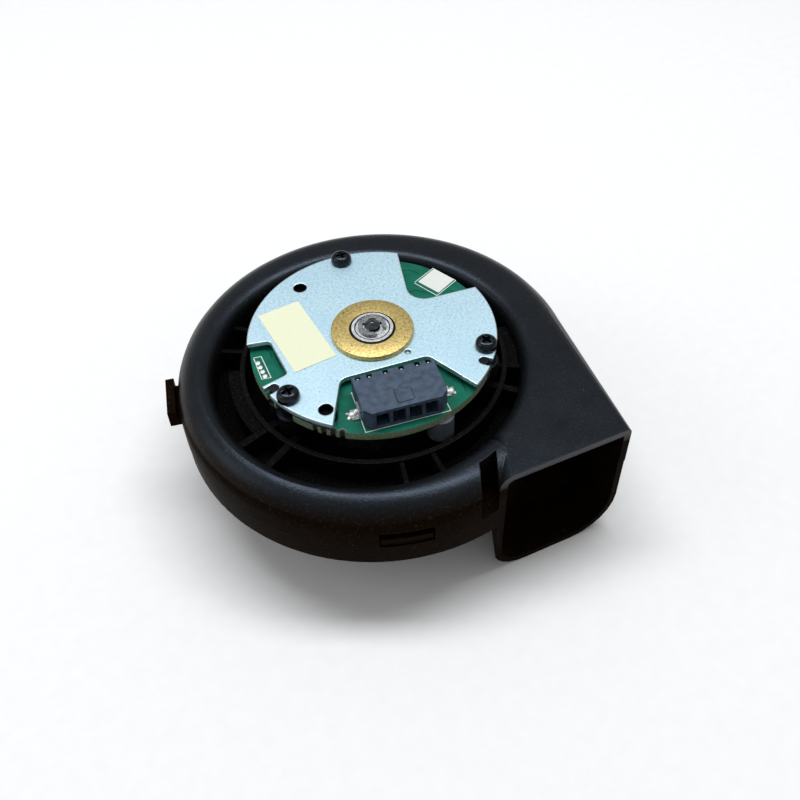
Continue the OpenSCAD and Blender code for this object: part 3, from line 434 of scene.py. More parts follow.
# %% Steel, tin and copper
# Tinned strip is pale, with a soft shine.
paint(even_finish("steel_tinned_pressed", "#b9bdc0", "#d6d9db", 0.8, 0.3, Metallic=1.0),
      "connector_solder_tabs")
# Stamped laminations are a dull middle grey.
paint(even_finish("steel_lamination_stamped", "#5f6368", "#74787d", 0.8, 0.45, Metallic=1.0),
      "stator_core")
# Enamelled copper wire is warm and glossy, and uneven from turn to turn.
paint(even_finish("copper_enamelled_wound", "#8f4a1e", "#b9682f", 0.3, 0.3, 0.02, Metallic=1.0),
      "stator_windings", "winding_leads")
# A drawn cup is satin grey.
paint(even_finish("steel_cup_drawn", "#8b9198", "#a4aab0", 1.2, 0.4, Metallic=1.0), "rotor_cup")
# Drawn spring steel is a darker satin.
paint(even_finish("steel_spring_drawn", "#8f9395", "#b0b3b4", 0.4, 0.4, Metallic=1.0),
      "preload_spring", "retaining_clip")
# Ground rings and balls are nearly white, and pressed shields and cages a little duller.
ground = even_finish("steel_bearing_ground", "#dee1e3", "#f0f2f2", 0.5, 0.42, Metallic=1.0)
pressed = even_finish("steel_shield_pressed", "#ccd1d4", "#e4e7e8", 0.6, 0.5, Metallic=1.0)
for bearing in ("upper_bearing", "lower_bearing"):
    paint(ground, bearing + "_outer_ring", bearing + "_inner_ring", bearing + "_balls")
    paint(pressed, bearing + "_shields", bearing + "_cage")
print("materials so far, with those of the frame:", len(bpy.data.materials))

# %% [markdown]
# ## Making new pieces
# Some things are too small or too free in shape for the exact parts: screw recesses,
# solder, ink and plating. They could be pushed and pulled by hand in Blender's window, but
# a script can be run again. So each is a mesh in millimetres that is scaled to metres at
# the end and rides on the housing or on the rotor. The heights come from the frame.

# %% Making new pieces


def heights(name):
    """The lowest and the highest point of a CAD piece, in millimetres."""
    rise = [(nodes[name].matrix_world @ Vector(corner)).z / MM for corner in nodes[name].bound_box]
    return round(min(rise), 3), round(max(rise), 3)


def as_mesh(name, shape):
    """A mesh from a bmesh, which is freed."""
    mesh = bpy.data.meshes.new(name)
    shape.to_mesh(mesh)
    shape.free()
    return mesh


def in_scene(name, data):
    """An object in the scene, from a mesh, a lamp or a camera."""
    thing = bpy.data.objects.new(name, data)
    bpy.context.scene.collection.objects.link(thing)
    return thing


def piece_from(name, shape, material, body="housing"):
    """A piece from a bmesh in millimetres, with its material, riding on a body."""
    bmesh.ops.recalc_face_normals(shape, faces=shape.faces[:])
    bmesh.ops.scale(shape, vec=(MM, MM, MM), verts=shape.verts[:])
    piece = in_scene(name, as_mesh(name, shape))
    piece.data.materials.append(material)
    piece.modifiers.new("smooth", "NODES").node_group = smooth
    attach(piece, body)
    return piece


PLATE_BOTTOM, PLATE_TOP = heights("motor_plate")
BOARD_BOTTOM, BOARD_TOP = heights("circuit_board")
print("plate from", PLATE_BOTTOM, "to", PLATE_TOP, "mm, board from", BOARD_BOTTOM, "to", BOARD_TOP, "mm")

# %% [markdown]
# ## Skins from loops
# A turned pin, a moulded block and a line of ink have one thing in common: cut across,
# each shows one closed outline after another. Blender's own cylinders and cubes could be
# bent into shape, but a stack of such loops with a skin between them makes all three.

# %% Skins from loops


def polar(radius, degrees):
    """A point of the board at a distance from the motor axis and an angle."""
    return Vector((radius * math.cos(math.radians(degrees)), radius * math.sin(math.radians(degrees))))


def round_loop(radius, height, facets=48):
    """A circle of points at a height, or the one point on the axis."""
    if radius == 0:
        return [(0, 0, height)]
    return [(*polar(radius, 360 * i / facets), height) for i in range(facets)]


def stack(shape, loops, ring=False):
    """Joins closed loops of points into a skin; a loop of one point closes an end, and a ring
    has no ends, because its last loop joins the first."""
    rows = [[shape.verts.new(point) for point in loop] for loop in loops]
    ends = [] if ring else [rows[0], rows[-1]]
    if ring:
        rows.append(rows[0])
    for low, high in zip(rows, rows[1:]):
        count = max(len(low), len(high))
        for i in range(count):
            j = (i + 1) % count
            corners = [low[i % len(low)], low[j % len(low)], high[j % len(high)], high[i % len(high)]]
            shape.faces.new(list(dict.fromkeys(corners)))
    for row in ends:
        if len(row) > 2:
            shape.faces.new(row)


def move(shape, matrix, first=0):
    """Moves the points of a shape, from a given one on, by a matrix in millimetres."""
    bmesh.ops.transform(shape, matrix=matrix, verts=shape.verts[first:])


print("a round loop has", len(round_loop(1, 0)), "points")

# %% [markdown]
# ## Outline of a screw
# Three pan-head screws hold the plate. A header punches the head cold from wire and forms
# the cross recess at the same stroke, with walls that lean inwards so that the driver
# centres itself; the thread is rolled. A real thread is a helix, but nobody sees it down
# in its hole, so the outline only steps in and out and is spun round the axis.

# %% Outline of a screw
HEAD_R, RIM_H, DOME_R = 2.1, 0.75, 1.15
HEAD_H = round(heights("plate_screws")[1] - PLATE_TOP, 3)
SCREW_L = round(PLATE_TOP - heights("plate_screws")[0], 3)
THREAD_R, THREAD_PITCH, THREAD_DEPTH = 1.0, 0.5, 0.18


def screw_outline():
    """Radius and height of a screw from its tip up, with the seat of the head at height 0."""
    outline = [(0, -SCREW_L), (THREAD_R * 0.4, -SCREW_L)]
    for i in range(int((SCREW_L - 1) / THREAD_PITCH)):
        low = -SCREW_L + 0.5 + i * THREAD_PITCH
        outline += [(THREAD_R - THREAD_DEPTH, low), (THREAD_R, low + THREAD_PITCH / 2)]
    outline += [(THREAD_R, -0.2), (THREAD_R, 0), (HEAD_R - 0.08, 0), (HEAD_R, 0.1), (HEAD_R, RIM_H)]
    outline += [(HEAD_R - DOME_R * (1 - math.cos(a)), RIM_H + (HEAD_H - RIM_H) * math.sin(a))
                for a in (math.radians(d) for d in range(15, 90, 15))]
    return outline + [(HEAD_R - DOME_R - 0.1, HEAD_H), (0, HEAD_H)]


print("screw:", SCREW_L, "mm long, head", 2 * HEAD_R, "x", HEAD_H, "mm")

# %% [markdown]
# ## Cross recess
# The recess could be modelled face by face. Here a tool of the same shape is cut out of the
# head with a boolean, as the punch does it, and a small bevel breaks the edges. Both are
# modifiers on a short-lived object, whose result is read back as a mesh.

# %% Cross recess
RECESS_TIP, EDGE_BREAK, EDGE_ANGLE = 1.3, 0.07, math.radians(38)
# Reach, half width, fillet and height over the head's top, from the floor of the recess up.
RECESS = ((0.5, 0.14, 0.12, -1.05), (1.12, 0.3, 0.24, -0.1), (1.26, 0.37, 0.24, 0.2))


def reworked(shape, change):
    """A bmesh put through modifiers: change(object) adds them to a short-lived object."""
    mesh = as_mesh("blank", shape)
    blank = in_scene("blank", mesh)
    change(blank)
    seen = bpy.context.evaluated_depsgraph_get()
    done = bpy.data.meshes.new_from_object(blank.evaluated_get(seen))
    result = bmesh.new()
    result.from_mesh(done)
    bpy.data.objects.remove(blank)
    bpy.data.meshes.remove(mesh)
    bpy.data.meshes.remove(done)
    return result


def cross_loop(reach, half, fillet, height):
    """The outline of the driver's cross at a height, with filleted inner corners."""
    corner = [(reach, -half), (reach, half), (half + fillet, half),
              (half + fillet * 0.3, half + fillet * 0.3), (half, half + fillet)]
    return [(*Matrix.Rotation(math.radians(90 * q), 2) @ Vector(point), height)
            for q in range(4) for point in corner]


def screw_shape():
    """One screw with its recess."""
    shape, tool = bmesh.new(), bmesh.new()
    stack(shape, [round_loop(*point) for point in screw_outline()])
    stack(tool, [[(0, 0, HEAD_H - RECESS_TIP)]]
          + [cross_loop(reach, half, fillet, HEAD_H + rise) for reach, half, fillet, rise in RECESS])
    for solid in (shape, tool):
        bmesh.ops.recalc_face_normals(solid, faces=solid.faces[:])
    tool_mesh = as_mesh("cross_tool", tool)
    cutter = in_scene("cross_tool", tool_mesh)

    def punch(blank):
        cut = blank.modifiers.new("recess", "BOOLEAN")
        cut.operation, cut.solver, cut.object = "DIFFERENCE", "EXACT", cutter
        broken = blank.modifiers.new("broken_edge", "BEVEL")
        broken.width, broken.segments, broken.limit_method = EDGE_BREAK, 2, "ANGLE"
        broken.angle_limit = EDGE_ANGLE

    result = reworked(shape, punch)
    bpy.data.objects.remove(cutter)
    bpy.data.meshes.remove(tool_mesh)
    return result


one_screw = as_mesh("one_screw", screw_shape())
print("one screw:", len(one_screw.polygons), "faces")

# %% [markdown]
# ## Plate screws
# The three screws are alike, but no two stopped at the same turn of the driver, so each
# copy of the one shape is twisted a little differently. Black oxide keeps the steel dark,
# and only the rounded edges catch the light. Three objects could share one mesh; they stay
# one piece here because the exact parts count them as one.

# %% Plate screws
SCREW_REACH = 22.0
# The angle at which each screw sits, and the turn at which its recess stopped, in degrees.
SCREW_TURNS = {-24.5: 32, 95.5: 8, 215.5: 20}

black_steel = even_finish("steel_black_oxide_headed", "#2a2e33", "#393e44", 0.5, 0.28, 0.004, 0.12,
                          Metallic=1.0)
screws = bmesh.new()
for azimuth, twist in SCREW_TURNS.items():
    count = len(screws.verts)
    screws.from_mesh(one_screw)
    seat = Matrix.Translation((*polar(SCREW_REACH, azimuth), PLATE_TOP))
    move(screws, seat @ Matrix.Rotation(math.radians(twist), 4, "Z"), count)
bpy.data.meshes.remove(one_screw)
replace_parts(piece_from("plate_screw_set", screws, black_steel), "plate_screws")
print("plate screws:", len(SCREW_TURNS))

# %% [markdown]
# ## Bearing sleeve
# The sleeve is turned from brass bar. The tool breaks its sharp edges and opens the mouth
# of its bore, and a shoulder inside keeps the two ball bearings apart. A turned piece is a
# section spun round an axis. Blender has a modifier for that, but a ring of loops, one for
# each corner of the section, gives the same and closes by itself.

# %% Bearing sleeve
SLEEVE_FOOT, SLEEVE_TOP = heights("bearing_sleeve")
BORE_R, MOUTH_R, MOUTH_DEPTH = 4.02, 4.42, 0.7
BARREL_R, FLANGE_R, SHOULDER_R = 5.5, 7.9, 2.8
BEARING_H, SHOULDER_H, SLEEVE_FACETS = 4.0, 1.8, 128
SHOULDER_LOW = round(SLEEVE_FOOT + BEARING_H, 3)
SHOULDER_HIGH = round(SHOULDER_LOW + SHOULDER_H, 3)

section = [(BORE_R, SLEEVE_FOOT), (BARREL_R, SLEEVE_FOOT), (BARREL_R, PLATE_TOP),
           (FLANGE_R - 0.1, PLATE_TOP), (FLANGE_R, PLATE_TOP + 0.1),
           (FLANGE_R, SLEEVE_TOP - 0.16), (FLANGE_R - 0.05, SLEEVE_TOP - 0.05),
           (FLANGE_R - 0.16, SLEEVE_TOP), (MOUTH_R + 0.06, SLEEVE_TOP), (MOUTH_R, SLEEVE_TOP - 0.06),
           (MOUTH_R, SLEEVE_TOP - MOUTH_DEPTH), (BORE_R, SLEEVE_TOP - MOUTH_DEPTH),
           (BORE_R, SHOULDER_HIGH), (SHOULDER_R, SHOULDER_HIGH),
           (SHOULDER_R, SHOULDER_LOW), (BORE_R, SHOULDER_LOW)]
sleeve = bmesh.new()
stack(sleeve, [round_loop(*point, SLEEVE_FACETS) for point in section], ring=True)
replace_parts(piece_from("bearing_sleeve_turned", sleeve, brass), "bearing_sleeve")
print("sleeve:", 2 * FLANGE_R, "mm across the flange")

# %% [markdown]
# ## Glue line and wire ring
# A dark brown ring fills the mouth of the bore round the ball bearing, and a thin ring of
# nearly black wire lies by the bearing's shield. Both are painted shade, dark pieces where
# the gaps between brass, ring and shield fall into shade. They could be painted on as
# dark circles, but a real hollow and a real wire catch the light as the piece is turned.

# %% Shade rings round the bearing
CLEARANCE, RING_FACETS = 0.01, 96
BORE_SHADE_IN, BORE_SHADE_OUT, BORE_SHADE_DEPTH = 4.01, MOUTH_R - CLEARANCE, MOUTH_DEPTH - CLEARANCE
WIRE_REACH, WIRE_R, WIRE_FACETS = 3.36, 0.14, 10
WIRE_HEIGHT = round(heights("upper_bearing_shields")[1] + 0.05, 3)

# Painted shade: a dark brown ring where the gap round the bearing falls into shade.
bore_painted_shade = even_finish("bore_gap_painted_shade", "#0c0a07", "#17130d", 0.7, 0.4, 0.01, IOR=1.49,
                    Specular_IOR_Level=0.2)
bore_shade = bmesh.new()
stack(bore_shade, [round_loop(r, SLEEVE_TOP - depth, RING_FACETS) for r, depth in (
    (BORE_SHADE_IN, BORE_SHADE_DEPTH), (BORE_SHADE_OUT, BORE_SHADE_DEPTH), (BORE_SHADE_OUT, 0.12), (4.3, 0.2), (4.12, 0.16),
    (BORE_SHADE_IN, 0.05))], ring=True)
piece_from("bearing_bore_painted_shade", bore_shade, bore_painted_shade)

# Painted shade: a nearly black ring where the groove between the bearing's ring and its shield falls into
# shade.
shield_gap_painted_shade = even_finish("shield_gap_painted_shade_steel", "#131416", "#222325", 0.3, 0.5, Metallic=1.0)
wire = bmesh.new()
stack(wire, [round_loop(WIRE_REACH + WIRE_R * math.cos(a), WIRE_HEIGHT + WIRE_R * math.sin(a), RING_FACETS)
             for a in (math.tau * i / WIRE_FACETS for i in range(WIRE_FACETS))], ring=True)
piece_from("shield_gap_shade_ring", wire, shield_gap_painted_shade)
print("glue line", round(BORE_SHADE_OUT - BORE_SHADE_IN, 2), "mm wide, wire", 2 * WIRE_R, "mm thick")

# %% [markdown]
# ## Shaft
# The shaft is ground steel, smooth and grey, with a groove for the clip and a cone at its
# end. Only that end shows, so a stub would do for a picture, but the whole shaft is made,
# because it turns with the rotor and has to reach the impeller. The groove has the clip's
# own height and a little room.

# %% Shaft
SHAFT_R, GROOVE_R, CLIP_ROOM = 1.5, 1.15, 0.02
SHAFT_FOOT = heights("shaft")[0]
SHAFT_TIP = round(heights("shaft")[1] - CLEARANCE, 3)
GROOVE_LOW = round(heights("retaining_clip")[0] - CLIP_ROOM, 3)
GROOVE_HIGH = round(heights("retaining_clip")[1] + CLIP_ROOM, 3)

shaft_steel = even_finish("steel_shaft_ground", "#4b4e52", "#64676b", 0.5, 0.25, Metallic=1.0)
section = [(0, SHAFT_FOOT), (SHAFT_R - 0.2, SHAFT_FOOT), (SHAFT_R, SHAFT_FOOT + 0.2),
           (SHAFT_R, GROOVE_LOW), (GROOVE_R, GROOVE_LOW), (GROOVE_R, GROOVE_HIGH),
           (SHAFT_R - 0.1, GROOVE_HIGH), (SHAFT_R - 0.02, GROOVE_HIGH + 0.08),
           (0.5, SHAFT_TIP - 0.12), (0.36, SHAFT_TIP - 0.03), (0.2, SHAFT_TIP), (0, SHAFT_TIP)]
spindle = bmesh.new()
stack(spindle, [round_loop(*point) for point in section])
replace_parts(piece_from("shaft_ground", spindle, shaft_steel, "rotor"), "shaft")
print("shaft:", round(SHAFT_TIP - SHAFT_FOOT, 2), "mm long")

# %% [markdown]
# ## Shade cups and dimple
# Near-black cups, which take hardly any shine, line and close the plate's two jig holes,
# each with a flange between plate and board; they are painted shade for the dark seen down
# the holes. The small hole beside the brass is only a dimple, whose wall is a greyer steel
# as painted shade in the pit. The holes could be left open, but then the eye would see
# through them to the board. So each gets a body of its own, spun round its axis.

# %% Shade cups and dimple
JIG_HOLES = ((19.7, 126.3), (20.9, -124.8))
CUP_R, CUP_RIM_R, CUP_FLANGE_R, CUP_FACETS = 1.3, 1.33, 2.0, 32
FLANGE_LOW, FLANGE_HIGH = BOARD_TOP + 0.02, PLATE_BOTTOM - 0.05
DIMPLE_PLACE, DIMPLE_R, DIMPLE_FACETS = (8.7, -52.3), 0.6, 24

# Painted shade: near-black cups fill the jig holes, which show only shade.
hole_painted_shade = even_finish("black_hole_painted_shade", "#050506", "#0a0a0b", 0.6, 0.85, 0.01, IOR=1.5,
                     Specular_IOR_Level=0.1)
shade_cups = bmesh.new()
for hole in JIG_HOLES:
    count = len(shade_cups.verts)
    stack(shade_cups, [round_loop(r, z, CUP_FACETS) for r, z in (
        (0, BOARD_BOTTOM), (CUP_R, BOARD_BOTTOM), (CUP_R, FLANGE_LOW), (CUP_FLANGE_R, FLANGE_LOW),
        (CUP_FLANGE_R, FLANGE_HIGH), (CUP_RIM_R, FLANGE_HIGH), (CUP_RIM_R, PLATE_TOP - 0.2),
        (1.28, PLATE_TOP - 0.12), (1.22, PLATE_TOP - 0.15), (1.2, PLATE_TOP - 1.3),
        (0.9, PLATE_TOP - 1.45), (0, PLATE_TOP - 1.5))])
    move(shade_cups, Matrix.Translation((*polar(*hole), 0)), count)
piece_from("jig_hole_shade_cups", shade_cups, hole_painted_shade)

# Painted shade: the dimple's wall is a greyer steel than the plate, for the shade in the pit.
dimple_painted_shade = even_finish("steel_sheet_dimple_painted_shade", "#94a6b0", "#aebfc8", 0.3, 0.55, Metallic=1.0)
dimple = bmesh.new()
stack(dimple, [round_loop(r, PLATE_BOTTOM + rise, DIMPLE_FACETS) for r, rise in (
    (0, 0), (0.4, 0.02), (DIMPLE_R, 0.2), (DIMPLE_R, 0.75), (0.57, 0.66), (0.48, 0.45), (0.28, 0.33),
    (0, 0.3))])
move(dimple, Matrix.Translation((*polar(*DIMPLE_PLACE), 0)))
piece_from("plate_dimple", dimple, dimple_painted_shade)
print("bushes:", len(JIG_HOLES), "and one dimple")

# %% [markdown]
# ## Connector latch
# The lid of the connector has a low pad that the plug's latch snaps over, with a fine dark
# line round it where the gap between pad and lid falls into shade. The line could be a
# groove, but the exact part may not be cut, so it is a strip a few hundredths of a
# millimetre high in a darker resin, a painted shade.

# %% Connector latch
HEADER_PLACE = Matrix.Translation((1.55, -17.1, BOARD_TOP)) @ Matrix.Rotation(math.radians(4.2), 4, "Z")
LID, PAD_RISE, LINE_W = 4.4, 0.18, 0.15
MITRE_LIMIT = 0.4


def rounded_box(low, high, corner, base, top, soft):
    """Loops of a low block with round corners, from base to top, whose top edge is soft."""
    corners = ((high[0], high[1], 1, 1, 0), (low[0], high[1], -1, 1, 90),
               (low[0], low[1], -1, -1, 180), (high[0], low[1], 1, -1, 270))
    loops = []
    for inset, height in ((0, base), (0, top - soft), (soft * 0.3, top - soft * 0.3), (soft, top),
                          (soft * 1.6, top)):
        r = corner - inset * 0.5
        loops.append([(x - sx * (inset + r) + r * math.cos(a),
                       y - sy * (inset + r) + r * math.sin(a), height)
                      for x, y, sx, sy, first in corners
                      for a in (math.radians(first + step) for step in range(0, 91, 15))])
    return loops


def strip(shape, points, width, low, high):
    """A flat strip of ink or lacquer along a line of points, mitred where it bends."""
    path = [Vector(point) for point in points]
    sides = []
    for i, point in enumerate(path):
        before = (point - path[i - 1]).normalized() if i else None
        after = (path[i + 1] - point).normalized() if i + 1 < len(path) else before
        along = ((before or after) + after).normalized()
        across = Vector((-along.y, along.x))
        reach = width / 2 / max(MITRE_LIMIT, across.dot(Vector((-after.y, after.x))))
        sides.append((point + across * reach, point - across * reach))
    stack(shape, [[(a.x, a.y, low), (b.x, b.y, low), (b.x, b.y, high), (a.x, a.y, high)]
                  for a, b in sides])


latch = bmesh.new()
stack(latch, rounded_box((-1.35, -3.7), (1.65, -0.68), 0.4, LID - 0.1, LID + PAD_RISE, 0.06))
move(latch, HEADER_PLACE)
piece_from("connector_latch_pad", latch, nylon_with_painted_sheen)

# Painted shade: a dark strip round the pad, where the gap between pad and lid falls into shade.
line = bmesh.new()
strip(line, [(-1.42, -3.6), (-1.42, -0.95), (-1.1, -0.61), (1.4, -0.61), (1.72, -0.95), (1.72, -3.4)],
      LINE_W, LID - 0.01, LID + 0.02)
move(line, HEADER_PLACE)
piece_from("connector_latch_painted_shade", line, resin)
print("latch pad", PAD_RISE, "mm high, in a line", LINE_W, "mm wide")

# %% [markdown]
# ## Connector pins
# Four pins are drawn from square wire, tinned, and bent down to the board behind the
# connector. Their tails, and the ends of the two side tabs, show white in the notches of
# the lid. Plain boxes would have knife edges, so each length is a block with round corners
# and a soft end, as a shear and a die leave it.

# %% Connector pins
PIN_COUNT, PIN_PITCH, PIN_HALF, PIN_AXIS = 4, 3.0, 0.32, 2.2
PIN_FRONT, PIN_BACK, PIN_EDGE = -3.25, 4.2, 0.1
TAIL_HALF, TAIL_BACK, TAIL_TOP, TAIL_EDGE = 0.21, 4.05, 4.12, 0.08
TAB_REACH = 6.65

tin_wire = even_finish("brass_tinned_drawn", "#e6e8e6", "#f6f7f6", 0.6, 0.4, Metallic=1.0)


def tail(shape, x, base):
    """An upright length of thin wire behind the connector, from a height up to the notches."""
    stack(shape, rounded_box((x - TAIL_HALF, TAIL_BACK - TAIL_HALF), (x + TAIL_HALF, TAIL_BACK + TAIL_HALF),
                             TAIL_EDGE, base, TAIL_TOP, TAIL_EDGE))


pins = bmesh.new()
for x in (PIN_PITCH * (i - (PIN_COUNT - 1) / 2) for i in range(PIN_COUNT)):
    stack(pins, rounded_box((x - PIN_HALF, PIN_FRONT), (x + PIN_HALF, PIN_BACK), PIN_EDGE,
                            PIN_AXIS - PIN_HALF, PIN_AXIS + PIN_HALF, PIN_EDGE))
    tail(pins, x, 0.0)
move(pins, HEADER_PLACE)
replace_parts(piece_from("connector_pins_drawn", pins, tin_wire), "connector_pins")

ends = bmesh.new()
for x in (-TAB_REACH, TAB_REACH):
    tail(ends, x, PIN_AXIS)
move(ends, HEADER_PLACE)
piece_from("connector_tab_ends", ends, tin_wire)
print("pins:", PIN_COUNT, "at", PIN_PITCH, "mm")

# %% [markdown]
# ## Solder
# The connector's two side tabs are soldered by hand, and the solder freezes in uneven
# bright lumps. It could be sculpted. Here a few squashed balls are run together by a voxel
# remesh and eased by a smoothing, as surface tension does it, and whatever sinks below the
# board is pressed flat on it.

# %% Solder
VOXEL, EASE, EASE_ROUNDS = 0.07, 0.5, 14

solder = even_finish("solder_tin_frozen", "#dcdedd", "#f4f5f3", 0.5, 0.58, 0.012, Metallic=1.0)


def solder_lump(name, lumps):
    """Round lumps (place, rise and three half-sizes) run into one drop that sits on the board."""
    shape = bmesh.new()
    for x, y, rise, across, deep, high in lumps:
        squash = Matrix.Translation((x, y, BOARD_TOP + rise)) @ Matrix.Diagonal((across, deep, high, 1))
        bmesh.ops.create_icosphere(shape, subdivisions=3, radius=1.0, matrix=squash)

    def fuse(blank):
        run = blank.modifiers.new("fuse", "REMESH")
        run.mode, run.voxel_size = "VOXEL", VOXEL
        eased = blank.modifiers.new("ease", "SMOOTH")
        eased.factor, eased.iterations = EASE, EASE_ROUNDS

    drop = reworked(shape, fuse)
    for vert in drop.verts:
        vert.co.z = max(vert.co.z, BOARD_TOP)
    return piece_from(name, drop, solder)


left = solder_lump("solder_left", [
    (-7.5, -18.1, 0.25, 0.85, 0.7, 0.6), (-6.6, -17.7, 0.35, 0.7, 0.6, 0.65),
    (-8.3, -17.6, 0.1, 0.42, 0.28, 0.3), (-8.2, -18.7, 0.1, 0.42, 0.45, 0.35),
    (-7.3, -18.6, 0.1, 0.6, 0.45, 0.4)])
right = solder_lump("solder_right", [
    (11.1, -16.9, 0.25, 0.6, 0.8, 0.6), (11.4, -16.3, 0.15, 0.4, 0.42, 0.4),
    (10.5, -17.0, 0.3, 0.5, 0.65, 0.6), (11.6, -17.4, 0.1, 0.38, 0.38, 0.3)])
print("solder:", len(left.data.polygons), "and", len(right.data.polygons), "faces")

# %% [markdown]
# ## Cable pads
# Four pads beside the label wait for a cable. Each is a flat drop of the same bright
# solder. They could be drawn in the board's material, but solder stands proud of the
# lacquer and shines quite differently, so each is a low dome of its own.

# %% Cable pads
PAD_COUNT, PAD_HALF_W, PAD_HALF_L, PAD_FACETS = 4, 0.46, 0.52, 24
PAD_FIRST, PAD_LAST = Vector((-22.3, -1.0)), Vector((-21.4, -4.65))
PAD_LEAN = Matrix.Rotation(math.radians(-12), 2)

pads = bmesh.new()
for i in range(PAD_COUNT):
    middle = PAD_FIRST.lerp(PAD_LAST, i / (PAD_COUNT - 1))
    loops = []
    for size, rise in ((1.0, 0.0), (1.0, 0.02), (0.8, 0.07), (0.4, 0.1)):
        oval = [PAD_LEAN @ Vector((PAD_HALF_W * size * math.cos(a), PAD_HALF_L * size * math.sin(a)))
                for a in (math.tau * k / PAD_FACETS for k in range(PAD_FACETS))]
        loops.append([(*(middle + point), BOARD_TOP + rise) for point in oval])
    stack(pads, loops)
piece_from("cable_pads", pads, solder)
print("pads:", PAD_COUNT)

# %% [markdown]
# ## Edge plating
# Half-round plated holes sit on the board's edge where it was cut from its panel. Their tin
# was dipped and has gone dull and grey. A boolean could bite them out of a full tube, but
# half a turn of a small section, one for the wall and one for the land round it, is all
# that is left of each.

# %% Edge plating
BOARD_R, HOLE_R, HOLE_COUNT, HOLE_FIRST, HOLE_STEP = 23.5, 0.5, 4, -127.5, 4.2
PLATING, LAND_R, LAND_RISE = 0.06, 0.8, 0.03

dull_tin = even_finish("tin_dull_dipped", "#6d746f", "#858c86", 0.3, 0.55, 0.01, Metallic=1.0)
plating = bmesh.new()
for azimuth in (HOLE_FIRST + HOLE_STEP * i for i in range(HOLE_COUNT)):
    middle = polar(BOARD_R, azimuth)
    half_turn = [azimuth + 180 + step for step in range(-84, 85, 12)]
    for inner, outer, low in ((HOLE_R - PLATING, HOLE_R, BOARD_BOTTOM), (HOLE_R, LAND_R, BOARD_TOP)):
        loops = []
        for degrees in half_turn:
            near, away = middle + polar(inner, degrees), middle + polar(outer, degrees)
            loops.append([(*near, low), (*away, low), (*away, BOARD_TOP + LAND_RISE),
                          (*near, BOARD_TOP + LAND_RISE)])
        stack(plating, loops)
piece_from("edge_plating", plating, dull_tin)
print("plated holes:", HOLE_COUNT)

# %% [markdown]
# ## Ink and label
# White ink is screened on the lacquer, flat and matt, to show where the connector, the
# label and the cable pads go, and a small coated paper label is stuck inside one of the
# frames. The lines could be part of a texture, but a line of ink has sharp edges and a
# height, so it is a thin strip along a few points.

# %% Ink and label
INK_W, INK_T = 0.16, 0.02
LABEL_HALF, LABEL_T, LABEL_PLACE, LABEL_TURN = (2.7, 2.6), 0.1, (16.05, 13.35), math.radians(-53)

ink = even_finish("ink_white_screened", "#dfe6e3", "#eef3f0", 0.3, 0.6, IOR=1.5)
INK_LINES = ([(-6.6, -12.6), (-5.9, -22.4), (9.85, -21.2), (9.65, -19.3)],
             [(11.5, 13.9), (16.4, 17.4), (20.0, 12.5), (15.1, 8.97), (11.5, 13.9), (11.7, 14.05)],
             [(-22.95, 0.5), (-22.05, -5.3), (-20.35, -5.3), (-21.5, 0.55), (-22.95, 0.5)])
marks = bmesh.new()
for points in INK_LINES:
    strip(marks, points, INK_W, BOARD_TOP, BOARD_TOP + INK_T)
piece_from("board_ink", marks, ink)

white = even_finish("paper_white_label_coated", "#dfe2de", "#e8eae6", 0.25, 0.55, 0.004, IOR=1.45)
paper = bmesh.new()
stack(paper, rounded_box((-LABEL_HALF[0], -LABEL_HALF[1]), LABEL_HALF, 0.15, 0.0, LABEL_T, 0.03))
move(paper, Matrix.Translation((*LABEL_PLACE, BOARD_TOP + INK_T)) @ Matrix.Rotation(LABEL_TURN, 4, "Z"))
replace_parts(piece_from("board_label_paper", paper, white), "board_label")
print("ink lines:", len(INK_LINES), "and one label")

# %% [markdown]
# ## Gaps between the tracks
# Under the lacquer the copper is etched away along thin lines, which look darker than the
# copper beside them. Real boards have hundreds, and a texture could draw them all; only
# those that show in the cut-outs of the plate are made, again as strips, in the darker
# shade of the lacquer.

# %% Gaps between the tracks
GAP_W, GAP_T = 0.22, 0.012

gap_resist = resist("laminate_green_resist_over_bare_board", "#044133", "#06493a")
TRACK_GAPS = ([(8.6, 18.6), (11.5, 17.95), (12.4, 17.3), (13.3, 16.1)],
              [(9.0, 11.1), (11.2, 11.7), (12.7, 10.8), (14.2, 9.6), (14.8, 7.6), (14.9, 6.6)],
              [(18.1, 9.95), (19.1, 8.1), (19.6, 6.4)],
              [(14.5, 18.2), (16.9, 16.4)],
              [(-22.6, 3.6), (-19.9, 3.4), (-19.1, 2.0), (-18.8, -0.4), (-18.1, -3.6)],
              [(-23.0, 2.6), (-20.4, 2.4), (-19.7, 1.2), (-19.6, -0.2)],
              [(-9.4, -13.0), (-9.6, -16.2), (-10.6, -19.6)],
              [(11.6, -12.4), (13.6, -14.4), (13.8, -17.6)])
gaps = bmesh.new()
for points in TRACK_GAPS:
    strip(gaps, points, GAP_W, BOARD_TOP, BOARD_TOP + GAP_T)
piece_from("board_track_gaps", gaps, gap_resist)
print("track gaps:", len(TRACK_GAPS))

# %% [markdown]
# ## Floor
# A pale card under the fan takes its soft shadow. It could be a solid slab, but then the
# underside could never be looked at, so it is one sheet that is matt card from above and
# clear from below.

# %% Floor
FLOOR_HALF, FLOOR_DROP, FIBRE = 3.0, 0.02 * MM, 3

